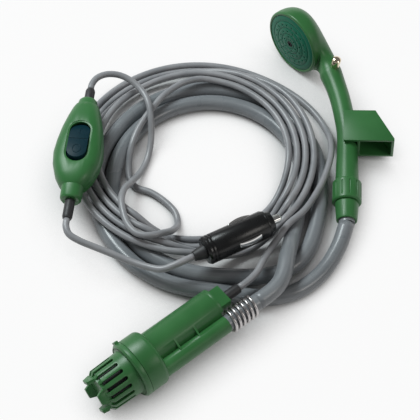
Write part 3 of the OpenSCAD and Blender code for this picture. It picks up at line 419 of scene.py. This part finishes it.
gland_end = pump_place + turned((gland_reach, gland_side, 0), pump_heading)
switch_way = turned((0, 1, 0), switch_turn)
supply_end = switch_place + switch_upper * switch_way
cable_route = [gland_end, gland_end + gland_lead * pump_way]
cable_route += shifted([
    (33, -66.5, 20.2), (38, -56, 19.6), (43.5, -45.5, 18.6), (50, -35, 17.6), (57, -23.5, 16.6)])
cable_route += wound_route(cable_spiral, cable_turns)
cable_route += shifted([
    (-8, 113.5, 17.2), (-22, 108, 18.4), (-35, 97, 18.4), (-46, 82, 17), (-54, 68, 15.4),
    (-59.5, 53, 12.5), (-62, 39, 6), (-61, 27, 2.8), (-56, 19, 2.6), (-45, 14.5, 2.6),
    (-34, 6, 2.6), (-26, -4, 2.6), (-24, -14, 3), (-27, -25, 11), (-34, -33, 19.4),
    (-43, -37, 22.4), (-52, -35.5, 22.4), (-59, -28, 22.2), (-63, -17, 22.2), (-65, -5, 21.6),
    (-63.5, 7, 18), (-59, 18, 11), (-53, 31, 5), (-48, 45, 4), (-45.5, 59, 9),
    (-45.5, 72, 18.5), (-47.5, 84, 23), (-52.5, 95, 24), (-60, 103, 25.8), (-70, 107.5, 28.5),
    (-80, 107, 30.5), (-87.5, 103, 31)])
cable_route += [supply_end + switch_lead * switch_way, supply_end]
cable_path, cable_length = smooth_route(cable_route, cable_step)

# Vinyl cable sheath, extruded: a warmer, paler grey than the hose and duller, with a faint twist of
# the cores showing through as a slow waviness along it.
core_twist = 24
cable_vinyl, tree, shader = new_finish("grey vinyl cable sheath", {"IOR": 1.53})
place = add(tree, "ShaderNodeUVMap", uv_map="along")
twist = add(tree, "ShaderNodeMapping", {
    "Vector": place.outputs[0], "Scale": (1.0, 1 / core_twist, 1.0), "Rotation": (0, 0, 0.6)})
cores = add(tree, "ShaderNodeTexWave", {
    "Vector": twist.outputs[0], "Scale": 1.0, "Distortion": 1.5}, wave_type="BANDS")
where = add(tree, "ShaderNodeTexCoord")
cloud = add(tree, "ShaderNodeTexNoise", {
    "Vector": where.outputs["Object"], "Scale": 1 / (18 * MM), "Detail": 4.0})
tone = add(tree, "ShaderNodeMapRange", {
    "Value": cloud.outputs["Fac"], "From Min": 0.3, "From Max": 0.7})
grey = add(tree, "ShaderNodeMix", {
    0: tone.outputs[0], 6: linear("#87888c"), 7: linear("#9f9ea1")}, data_type="RGBA")
gloss = add(tree, "ShaderNodeMapRange", {
    "Value": cloud.outputs["Fac"], "To Min": 0.28, "To Max": 0.42})
relief = add(tree, "ShaderNodeBump", {
    "Height": cores.outputs["Fac"], "Strength": 0.06, "Distance": 0.3 * MM})
coat(tree, shader, grey, gloss, relief)

supply_cable = new_object(
    "supply_cable", tube_mesh("supply_cable", cable_path, cable_radius, cable_sides))
dress(supply_cable, cable_vinyl, "fixed_pieces", "grey_cable",
      "cable_pump_lead", "cable_coil", "cable_switch_lead")

# The plug's cable: the same cable, a short lead from the lower end of the switch to the lighter
# plug's boot, lying across the coil.
plug_place = Vector((-11.5, -57.5, 26.8)) + lay_shift
plug_heading = 28.0
switch_lower = 62
boot_leads = (14, 6, 0)
plug_way = turned((1, 0, 0), plug_heading)
lead_end = switch_place - switch_lower * switch_way
plug_route = [lead_end, lead_end - switch_lead * switch_way]
plug_route += shifted([
    (-100.5, -40.5, 30), (-93, -45, 28), (-82, -48.5, 25), (-70, -52.5, 22.4),
    (-57, -57.5, 20.6), (-44.5, -62.5, 21), (-33.5, -66, 23.6)])
plug_route += [plug_place - lead * plug_way for lead in boot_leads]
plug_path, plug_lead_length = smooth_route(plug_route, cable_step)
plug_cable = new_object(
    "plug_cable", tube_mesh("plug_cable", plug_path, cable_radius, cable_sides))
dress(plug_cable, cable_vinyl, "fixed_pieces", "grey_cable", "cable_plug_lead")

# The pump: housing, rear cap and turning strainer, injection moulded in green ABS. Every outside
# edge has the small radius that a moulding tool leaves.
weld_gap = 0.002 * MM
flat_angle = math.radians(0.5)
edge_angle = 32.0


def settled(raw, name, angle):
    # The evaluated mesh as a plain one, smooth except over hard edges
    graph = bpy.context.evaluated_depsgraph_get()
    done = bpy.data.meshes.new_from_object(raw.evaluated_get(graph))
    done.name = name
    bpy.data.objects.remove(raw)
    for face in done.polygons:
        face.use_smooth = True
    done.set_sharp_from_angle(angle=math.radians(angle))
    return new_object(name, done)


def moulded_copy(node, name, edge):
    # A copy of the solid with its edges rounded
    mesh = bmesh.new()
    mesh.from_mesh(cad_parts[node].data)
    bmesh.ops.remove_doubles(mesh, verts=mesh.verts, dist=weld_gap)
    bmesh.ops.dissolve_limit(mesh, angle_limit=flat_angle, verts=mesh.verts, edges=mesh.edges)
    raw = new_object(name + "_raw", mesh_data(mesh, name + "_raw"))
    bevel = raw.modifiers.new("edge", "BEVEL")
    bevel.width = edge * MM
    bevel.segments = 2
    bevel.limit_method = "ANGLE"
    bevel.angle_limit = math.radians(edge_angle)
    bevel.use_clamp_overlap = True
    return settled(raw, name, edge_angle)


def mould(node, name, edge, material, slot, body="fixed_pieces"):
    dress(moulded_copy(node, name, edge), material, body, slot, node)


# ABS, moulded in a fine spark-eroded tool: a deep green with a soft shine, its grain of about
# 0.4 mm drawn at 0.8 mm so that it shows, and slight shade changes where the melt flowed.
green_abs, tree, shader = new_finish("green moulded ABS", {"IOR": 1.54, "Specular IOR Level": 0.4})
where = add(tree, "ShaderNodeTexCoord")
flow = add(tree, "ShaderNodeTexNoise", {
    "Vector": where.outputs["Object"], "Scale": 1 / (25 * MM), "Detail": 2.0})
grain = add(tree, "ShaderNodeTexNoise", {
    "Vector": where.outputs["Object"], "Scale": 1 / (0.8 * MM), "Detail": 2.0})
tone = add(tree, "ShaderNodeMapRange", {
    "Value": flow.outputs["Fac"], "From Min": 0.3, "From Max": 0.7})
green = add(tree, "ShaderNodeMix", {
    0: tone.outputs[0], 6: linear("#2f6a36"), 7: linear("#3a7640")}, data_type="RGBA")
gloss = add(tree, "ShaderNodeMapRange", {
    "Value": flow.outputs["Fac"], "To Min": 0.32, "To Max": 0.44})
relief = add(tree, "ShaderNodeBump", {
    "Height": grain.outputs["Fac"], "Strength": 0.08, "Distance": 0.2 * MM})
coat(tree, shader, green, gloss, relief)

mould("pump_housing", "pump_shell", 0.5, green_abs, "green_plastic")
mould("pump_end_cap", "pump_cap", 0.6, green_abs, "green_plastic")
mould("strainer_basket", "strainer", 0.35, green_abs, "green_plastic", "strainer")

# The black sleeves and boots: soft vinyl, moulded and slipped over the cable where it leaves the
# pump, the switch and the plug. The rubber seals inside the pieces have the same finish.

# Soft vinyl, moulded: black and dull, with small clouds that its bloom leaves.
black_vinyl, tree, shader = new_finish("black soft vinyl sleeve", {"IOR": 1.52})
where = add(tree, "ShaderNodeTexCoord")
cloud = add(tree, "ShaderNodeTexNoise", {
    "Vector": where.outputs["Object"], "Scale": 1 / (3 * MM), "Detail": 4.0})
shade = add(tree, "ShaderNodeMix", {
    0: cloud.outputs["Fac"], 6: linear("#1f1e20"), 7: linear("#333234")}, data_type="RGBA")
gloss = add(tree, "ShaderNodeMapRange", {
    "Value": cloud.outputs["Fac"], "To Min": 0.42, "To Max": 0.62})
relief = add(tree, "ShaderNodeBump", {
    "Height": cloud.outputs["Fac"], "Strength": 0.15, "Distance": 0.3 * MM})
coat(tree, shader, shade, gloss, relief)
for node in ("cable_gland", "sleeve_supply", "sleeve_plug", "plug_boot"):
    mould(node, node + "_sleeve", 0.4, black_vinyl, "black_rubber")
paint(black_vinyl, "cap_o_ring", "shaft_seal", "face_gasket", "coupling_washer", "stop_pin_seals")

# The hose clamp: one length of 2.2 mm spring wire wound over the hose on the spout. Geometry nodes
# wind it from its turns, radius, length and wire size.
clamp_turns = 6.0
clamp_radius = 7.4
clamp_length = 22.0
clamp_wire = 1.1
clamp_start = 105.3
clamp_steps = 28
clamp_wire_sides = 12
clamp_crease = 60
clamp_tree = bpy.data.node_groups.new("wound wire clamp", "GeometryNodeTree")
clamp_inputs = {}
for label, kind in (("Turns", "NodeSocketFloat"), ("Radius", "NodeSocketFloat"),
                    ("Length", "NodeSocketFloat"), ("Wire", "NodeSocketFloat"),
                    ("Finish", "NodeSocketMaterial")):
    clamp_inputs[label] = clamp_tree.interface.new_socket(label, in_out="INPUT", socket_type=kind)
clamp_tree.interface.new_socket("Geometry", in_out="OUTPUT", socket_type="NodeSocketGeometry")
given = add(clamp_tree, "NodeGroupInput")
coil = add(clamp_tree, "GeometryNodeCurveSpiral", {
    "Resolution": clamp_steps, "Rotations": given.outputs["Turns"],
    "Start Radius": given.outputs["Radius"], "End Radius": given.outputs["Radius"],
    "Height": given.outputs["Length"]})
round_wire = add(clamp_tree, "GeometryNodeCurvePrimitiveCircle", {
    "Resolution": clamp_wire_sides, "Radius": given.outputs["Wire"]})
wound = add(clamp_tree, "GeometryNodeCurveToMesh", {
    "Curve": coil.outputs[0], "Profile Curve": round_wire.outputs[0], "Fill Caps": True})
solid = add(clamp_tree, "GeometryNodeRealizeInstances", {"Geometry": wound.outputs[0]})
coated = add(clamp_tree, "GeometryNodeSetMaterial", {
    "Geometry": solid.outputs[0], "Material": given.outputs["Finish"]})
add(clamp_tree, "NodeGroupOutput", {"Geometry": coated.outputs[0]})

# Drawn spring steel: grey and bright along its highlights, clouded by the drawing at about 2 mm.
spring_steel, tree, shader = new_finish("drawn spring steel", {"Metallic": 1.0})
where = add(tree, "ShaderNodeTexCoord")
cloud = add(tree, "ShaderNodeTexNoise", {
    "Vector": where.outputs["Object"], "Scale": 1 / (2 * MM), "Detail": 5.0})
shade = add(tree, "ShaderNodeMix", {
    0: cloud.outputs["Fac"], 6: linear("#a09d9d"), 7: linear("#d4d0cf")}, data_type="RGBA")
gloss = add(tree, "ShaderNodeMapRange", {
    "Value": cloud.outputs["Fac"], "To Min": 0.2, "To Max": 0.38})
coat(tree, shader, shade, gloss)

clamp_raw = new_object("clamp_raw", bpy.data.meshes.new("clamp_raw"))
winding = clamp_raw.modifiers.new("winding", "NODES")
winding.node_group = clamp_tree
for label, value in (("Turns", clamp_turns), ("Radius", clamp_radius * MM),
                     ("Length", clamp_length * MM), ("Wire", clamp_wire * MM),
                     ("Finish", spring_steel)):
    winding[clamp_inputs[label].identifier] = value
pump_frame = (Matrix.Translation(pump_place * MM)
              @ Matrix.Rotation(math.radians(pump_heading), 4, "Z")
              @ Matrix.Rotation(math.radians(90), 4, "Y"))
clamp = settled(clamp_raw, "wire_clamp", clamp_crease)
clamp.data.transform(pump_frame @ Matrix.Translation(Vector((0, spout_side, clamp_start)) * MM))
dress(clamp, spring_steel, "fixed_pieces", "spring_steel", "hose_clamp")

# A black tapered sleeve, drawn as woven nylon, stands inside the strainer behind its slots and
# turns off with it. It is painted shade: it makes the strainer's inside show dark through the
# slots.
shade_sleeve_profile = [(9.5, 7.6), (11.2, 10.6), (11.8, 29.3), (11.3, 29.3), (10.7, 10.8), (9.0, 7.6)]
shade_sleeve_sides = 64
shade_sleeve_crease = 40
shade_sleeve_mesh = bmesh.new()
hoops = [[shade_sleeve_mesh.verts.new(Vector((out * math.cos(a), out * math.sin(a), along)) * MM)
          for a in round_turn(shade_sleeve_sides)] for out, along in shade_sleeve_profile]
for low, high in zip(hoops, hoops[1:] + hoops[:1]):
    bridge(shade_sleeve_mesh, low, high)
bmesh.ops.recalc_face_normals(shade_sleeve_mesh, faces=shade_sleeve_mesh.faces)
shade_sleeve_raw = new_object("shade_sleeve_raw", mesh_data(shade_sleeve_mesh, "shade_sleeve_raw"))
shade_sleeve = settled(shade_sleeve_raw, "painted_shade_sleeve", shade_sleeve_crease)
shade_sleeve.data.transform(pump_frame)

# Drawn as woven nylon: black and dull, with a plain weave that is drawn at 1.2 mm, coarse enough to
# show; its black is painted shade. A band texture of scale 1 repeats every 0.314 m.
band_run = 0.314
thread_run = 1.2
painted_shade_black, tree, shader = new_finish("black weave as painted shade", {})
where = add(tree, "ShaderNodeTexCoord")
threads = [add(tree, "ShaderNodeTexWave", {
    "Vector": where.outputs["Object"], "Scale": band_run / (thread_run * MM)},
    wave_type="BANDS", bands_direction=way) for way in ("X", "Z")]
weave = add(tree, "ShaderNodeMath", {
    0: threads[0].outputs["Fac"], 1: threads[1].outputs["Fac"]}, operation="MAXIMUM")
shade = add(tree, "ShaderNodeMix", {
    0: weave.outputs[0], 6: linear("#070808"), 7: linear("#161817")}, data_type="RGBA")
gloss = add(tree, "ShaderNodeMapRange", {"Value": weave.outputs[0], "To Min": 0.8, "To Max": 0.6})
relief = add(tree, "ShaderNodeBump", {
    "Height": weave.outputs[0], "Strength": 0.3, "Distance": 0.3 * MM})
coat(tree, shader, shade, gloss, relief)
dress(shade_sleeve, painted_shade_black, "strainer", "black_plastic")

# The motor and pump wheel inside the housing, and the small pieces inside the switch and the plug:
# pressed steel, iron, turned brass, ABS and a glass fuse. They are closed in, and keep their
# solids.

# Phosphated iron is dark and dull, turned brass is yellow and shiny, and the fuse's glass is clear.
closed_in = []
for name, low, high, rough, constants in (
    ("phosphated iron", "#3a3836", "#56524e", 0.55, {"Metallic": 0.8}),
    ("turned brass", "#a98746", "#c7a35c", 0.3, {"Metallic": 1.0}),
    ("clear fuse glass", "#d5d8d6", "#e6e9e7", 0.1, {"Transmission Weight": 0.8}),
):
    material, tree, shader = new_finish(name, constants)
    where = add(tree, "ShaderNodeTexCoord")
    cloud = add(tree, "ShaderNodeTexNoise", {
        "Vector": where.outputs["Object"], "Scale": 1 / (4 * MM), "Detail": 4.0})
    shade = add(tree, "ShaderNodeMix", {
        0: cloud.outputs["Fac"], 6: linear(low), 7: linear(high)}, data_type="RGBA")
    gloss = add(tree, "ShaderNodeMapRange", {
        "Value": cloud.outputs["Fac"], "To Min": rough * 0.8, "To Max": rough * 1.2})
    coat(tree, shader, shade, gloss)
    closed_in.append(material)
dark_iron, turned_brass, clear_glass = closed_in

# Black ABS, moulded in a polished tool: a deep black with a clear shine and faint handling marks.
black_abs, tree, shader = new_finish("black polished ABS", {
    "IOR": 1.54, "Specular IOR Level": 0.35})
where = add(tree, "ShaderNodeTexCoord")
marks = add(tree, "ShaderNodeTexNoise", {
    "Vector": where.outputs["Object"], "Scale": 1 / (6 * MM), "Detail": 6.0})
shade = add(tree, "ShaderNodeMix", {
    0: marks.outputs["Fac"], 6: linear("#111112"), 7: linear("#1b1b1c")}, data_type="RGBA")
gloss = add(tree, "ShaderNodeMapRange", {
    "Value": marks.outputs["Fac"], "To Min": 0.2, "To Max": 0.36})
coat(tree, shader, shade, gloss)

paint(spring_steel, "motor_shaft", "motor_can", "rocker_pin", "switch_screws")
paint(dark_iron, "motor_rotor", "motor_magnets", "motor_brushes")
paint(turned_brass, "front_bush", "rear_bush", "hose_barb", "switch_contacts")
paint(black_abs, "impeller", "motor_bell")
paint(clear_glass, "plug_fuse")
paint(green_abs, "inlet_plate")

# The hand shower's shell: head, neck and handle in one green ABS moulding. The handle leans forward
# and widens without a step into the domed back of the head, whose rim stands round the spray plate.
handset_roll = 6
shell_sides = 72
shell_crease = 38
handle_step = 2.5
tail_radius = 9.0
tail_from = 20.2
tail_to = 32.9
handle_bends = [(0, 33, 8.7), (0, 49.43, 8.3), (0, 64, 7.8), (0.389, 78.025, 7.8),
                (2.419, 91.5, 7.8), (5.789, 108.036, 7.9), (9.59, 120.989, 8.2),
                (13.694, 132.496, 9.0)]
neck_lean = math.radians(25.7)
neck_place = Vector(handle_bends[-1][:2])
neck_up = Vector((math.sin(neck_lean), math.cos(neck_lean)))
neck_out = handle_bends[-1][2] * Vector((math.cos(neck_lean), -math.sin(neck_lean)))
head_lean = math.radians(43)
head_radius = 27.0
head_rings = 48
face_way = Vector((math.cos(head_lean), -math.sin(head_lean)))
face_down = Vector((-math.sin(head_lean), -math.cos(head_lean)))
face_place = Vector((43.2, 160.4))
chin_pull = 2.7
nape_pull = 31.005
crown_pull = 30.933
rim_profile = [(1.9, 27.0), (2.35, 26.9), (2.75, 26.65), (3.1, 26.3), (3.3, 25.9), (3.4, 25.5),
               (3.4, 24.9), (3.2, 24.5), (2.9, 24.35), (0.0, 24.35), (0.0, 21.2), (-5.0, 21.2)]
pin_bore = 3.56
pin_bore_length = 80
pin_bore_sides = 48
pin_place = Vector((12.01, 0, 134.011))
flat_turn = -10
flat_place = Vector((-27.4, 0, 77.75))
flat_size = Vector((40, 60, 27.5))


def bent(a, b, c, d, t):
    return a * (1 - t) ** 3 + b * 3 * t * (1 - t) ** 2 + c * 3 * t * t * (1 - t) + d * t ** 3


def front_line(t):
    chin = face_place + head_radius * face_down
    root = neck_place + neck_out
    return bent(root, root, chin - chin_pull * face_way, chin, t ** 0.5)


def back_line(t):
    top = face_place - head_radius * face_down
    root = neck_place - neck_out
    return bent(root, root + nape_pull * neck_up, top - crown_pull * face_way, top, t)


# Each ring is a front point and a back point in the side view, forward and along the handle
shell_rings = [(Vector((tail_radius, along)), Vector((-tail_radius, along)))
               for along in (tail_from, tail_to)]
handle_rows, _ = smooth_route([Vector(row) for row in handle_bends], handle_step)
for i, row in enumerate(handle_rows[:-1]):
    along = (handle_rows[i + 1] - handle_rows[max(i - 1, 0)]).xy.normalized()
    out = row.z * Vector((along.y, -along.x))
    shell_rings.append((row.xy + out, row.xy - out))
shell_rings += [(front_line(i / head_rings), back_line(i / head_rings))
                for i in range(head_rings + 1)]
for high, out in rim_profile:
    middle = face_place + high * face_way
    shell_rings.append((middle + out * face_down, middle - out * face_down))
shell_mesh = bmesh.new()
rows = []
for front, back in shell_rings:
    middle = (front + back) / 2
    out = (front - back) / 2
    rows.append([
        shell_mesh.verts.new(Vector((middle.x + math.cos(a) * out.x, -math.sin(a) * out.length,
                                     middle.y + math.cos(a) * out.y)) * MM)
        for a in round_turn(shell_sides)])
for low, high in zip(rows, rows[1:]):
    bridge(shell_mesh, low, high)
shell_mesh.faces.new(list(reversed(rows[0])))
shell_mesh.faces.new(rows[-1])
bmesh.ops.recalc_face_normals(shell_mesh, faces=shell_mesh.faces)
shell = new_object("handset_raw", mesh_data(shell_mesh, "handset_raw"))

bore_mesh = bmesh.new()
bmesh.ops.create_cone(
    bore_mesh, cap_ends=True, segments=pin_bore_sides, radius1=pin_bore * MM,
    radius2=pin_bore * MM, depth=pin_bore_length * MM,
    matrix=Matrix.Translation(pin_place * MM) @ Matrix.Rotation(math.radians(90), 4, "X"))
flat_mesh = bmesh.new()
bmesh.ops.create_cube(
    flat_mesh, size=1.0,
    matrix=Matrix.Rotation(math.radians(flat_turn), 4, "Z") @ Matrix.Translation(flat_place * MM)
    @ Matrix.Diagonal((flat_size * MM).to_4d()))
cutters = []
for name, mesh in (("pin bore", bore_mesh), ("bracket flat", flat_mesh)):
    cutters.append(new_object(name, mesh_data(mesh, name)))
    cut = shell.modifiers.new(name, "BOOLEAN")
    cut.operation = "DIFFERENCE"
    cut.solver = "EXACT"
    cut.object = cutters[-1]
handset = settled(shell, "hand_shower_shell", shell_crease)
for cutter in cutters:
    bpy.data.objects.remove(cutter)
handset_frame = (Matrix.Translation(handset_place * MM)
                 @ Matrix.Rotation(math.radians(180 + handset_yaw), 4, "Z")
                 @ Matrix.Rotation(math.radians(90 - handset_pitch), 4, "X")
                 @ Matrix.Rotation(math.radians(handset_roll), 4, "Z"))
handset.data.transform(handset_frame)
dress(handset, green_abs, "fixed_pieces", "green_plastic", "handset_shell")

# The hanger bracket, union nut and ferrule: green ABS mouldings. The bracket is fixed on the flat
# of the handle, the nut turns on the handle's tail and draws the hose's barb against its washer,
# and the ferrule is pressed over the hose's end.
mould("hanger_bracket", "hook_bracket", 0.5, green_abs, "green_plastic")
mould("coupling_nut", "union_nut_shell", 0.4, green_abs, "green_plastic", "union_nut")
mould("hose_ferrule", "ferrule_shell", 0.5, green_abs, "green_plastic")

# The spray plate: darker, bluer green ABS, crowned, with turned steps and rows of fine nozzles. A
# steel screw in its middle holds it on a rubber gasket.

# Blue green ABS, moulded in a polished tool: even in colour, with only a weak shine.
rose_abs, tree, shader = new_finish("blue green moulded ABS", {
    "IOR": 1.54, "Specular IOR Level": 0.18})
where = add(tree, "ShaderNodeTexCoord")
flow = add(tree, "ShaderNodeTexNoise", {
    "Vector": where.outputs["Object"], "Scale": 1 / (20 * MM), "Detail": 2.0})
shade = add(tree, "ShaderNodeMix", {
    0: flow.outputs["Fac"], 6: linear("#126a4f"), 7: linear("#1e775c")}, data_type="RGBA")
gloss = add(tree, "ShaderNodeMapRange", {
    "Value": flow.outputs["Fac"], "To Min": 0.34, "To Max": 0.46})
coat(tree, shader, shade, gloss)
mould("spray_plate", "spray_rose", 0.15, rose_abs, "dark_green_plastic")

# The shut-off pin and the plug's tip: turned brass pins, nickel plated. The pin slides across the
# neck in two rubber seals, and the tip stands sprung in the plug's nose.

# Nickel plate, polished: a mirror with faint clouds from handling. On the pin its colour is tinted
# warm, a painted warm reflection.
plated = []
for name, low, high in (("nickel plate with painted warm reflection", "#d6c5aa", "#ecdfc8"),
                        ("nickel plate", "#cdccca", "#e3e2e0")):
    material, tree, shader = new_finish(name, {"Metallic": 1.0})
    where = add(tree, "ShaderNodeTexCoord")
    cloud = add(tree, "ShaderNodeTexNoise", {
        "Vector": where.outputs["Object"], "Scale": 1 / (4 * MM), "Detail": 4.0})
    shade = add(tree, "ShaderNodeMix", {
        0: cloud.outputs["Fac"], 6: linear(low), 7: linear(high)}, data_type="RGBA")
    gloss = add(tree, "ShaderNodeMapRange", {
        "Value": cloud.outputs["Fac"], "To Min": 0.06, "To Max": 0.14})
    coat(tree, shader, shade, gloss)
    plated.append(material)
nickel_painted_warm, nickel = plated
mould("stop_pin", "shut_off_pin_body", 0.3, nickel_painted_warm, "chrome_plate", "shut_off_pin")
mould("plug_tip", "plug_tip_body", 0.2, nickel, "chrome_plate", "tip")

# The rose's screw: a small steel screw with a cross slot, blacked against rust and drawn darker
# still as painted shade. It stands in a well in the middle of the spray plate and holds it down on
# its gasket.

# Blacked steel: nearly black, with a low metal shine; the near-black is partly painted shade, for
# the shade in the well round the screw.
blacked_steel_and_painted_shade, tree, shader = new_finish("blacked steel with painted shade", {"Metallic": 1.0})
where = add(tree, "ShaderNodeTexCoord")
cloud = add(tree, "ShaderNodeTexNoise", {
    "Vector": where.outputs["Object"], "Scale": 1 / (1.2 * MM), "Detail": 3.0})
shade = add(tree, "ShaderNodeMix", {
    0: cloud.outputs["Fac"], 6: linear("#0a0c0c"), 7: linear("#1f2423")}, data_type="RGBA")
gloss = add(tree, "ShaderNodeMapRange", {
    "Value": cloud.outputs["Fac"], "To Min": 0.25, "To Max": 0.4})
coat(tree, shader, shade, gloss)
mould("spray_screw", "rose_screw", 0.15, blacked_steel_and_painted_shade, "spring_steel")

# The switch: two green ABS halves on the cable, boat shaped with a short collar at each end, and a
# navy rocker between them on a steel pin, with a raised stroke for on and a ring for off.
mould("switch_cover", "switch_top", 0.3, green_abs, "green_plastic")
mould("switch_base", "switch_bottom", 0.5, green_abs, "green_plastic")

# Navy ABS, moulded in a grained tool: dark and nearly matt, its grain drawn at 1.2 mm so that it
# shows.
navy_abs, tree, shader = new_finish("navy moulded ABS", {"IOR": 1.54, "Specular IOR Level": 0.12})
where = add(tree, "ShaderNodeTexCoord")
grain = add(tree, "ShaderNodeTexNoise", {
    "Vector": where.outputs["Object"], "Scale": 1 / (1.2 * MM), "Detail": 3.0})
shade = add(tree, "ShaderNodeMix", {
    0: grain.outputs["Fac"], 6: linear("#08262f"), 7: linear("#10343f")}, data_type="RGBA")
gloss = add(tree, "ShaderNodeMapRange", {
    "Value": grain.outputs["Fac"], "To Min": 0.35, "To Max": 0.5})
relief = add(tree, "ShaderNodeBump", {
    "Height": grain.outputs["Fac"], "Strength": 0.12, "Distance": 0.3 * MM})
coat(tree, shader, shade, gloss, relief)

rocker_pivot = 6
rocker_tilt = math.radians(8)
rocker_crest = 7.1
ring_middle = -9
ring_width = 2.9
ring_length = 3.6
stroke_marks = (6, 8, 10, 12)
mark_radius = 0.4
mark_sides = 10
rocker = moulded_copy("switch_rocker", "rocker_key", 0.7)
rocker_frame = (Matrix.Translation(switch_place * MM)
                @ Matrix.Rotation(math.radians(switch_turn), 4, "Z")
                @ Matrix.Translation(Vector((0, 0, rocker_pivot)) * MM)
                @ Matrix.Rotation(-rocker_tilt, 4, "X"))
off_mark = [(ring_width * math.cos(a), ring_middle + ring_length * math.sin(a))
            for a in (math.radians(degrees) for degrees in range(0, 370, 10))]
on_mark = [(0, along) for along in stroke_marks]
marked = bmesh.new()
marked.from_mesh(rocker.data)
for mark in (off_mark, on_mark):
    mark_path = [Vector((x, y, rocker_crest - math.tan(rocker_tilt) * abs(y))) for x, y in mark]
    raised = tube_mesh("mark", mark_path, mark_radius, mark_sides)
    raised.transform(rocker_frame)
    marked.from_mesh(raised)
marked.to_mesh(rocker.data)
marked.free()
dress(rocker, navy_abs, "rocker", "navy_plastic", "switch_rocker")

# The lighter plug: a black ABS barrel with a screwed nose ring, for a car's lighter socket. A bowed
# strip of spring steel, nickel plated, stands out on each side and presses on the socket's wall.
mould("plug_barrel", "plug_body", 0.4, black_abs, "black_plastic")
mould("plug_nose", "plug_nose_ring", 0.4, black_abs, "black_plastic")
mould("contact_near", "contact_near_strip", 0.3, nickel, "spring_steel", "near_contact")
mould("contact_far", "contact_far_strip", 0.3, nickel, "spring_steel", "far_contact")
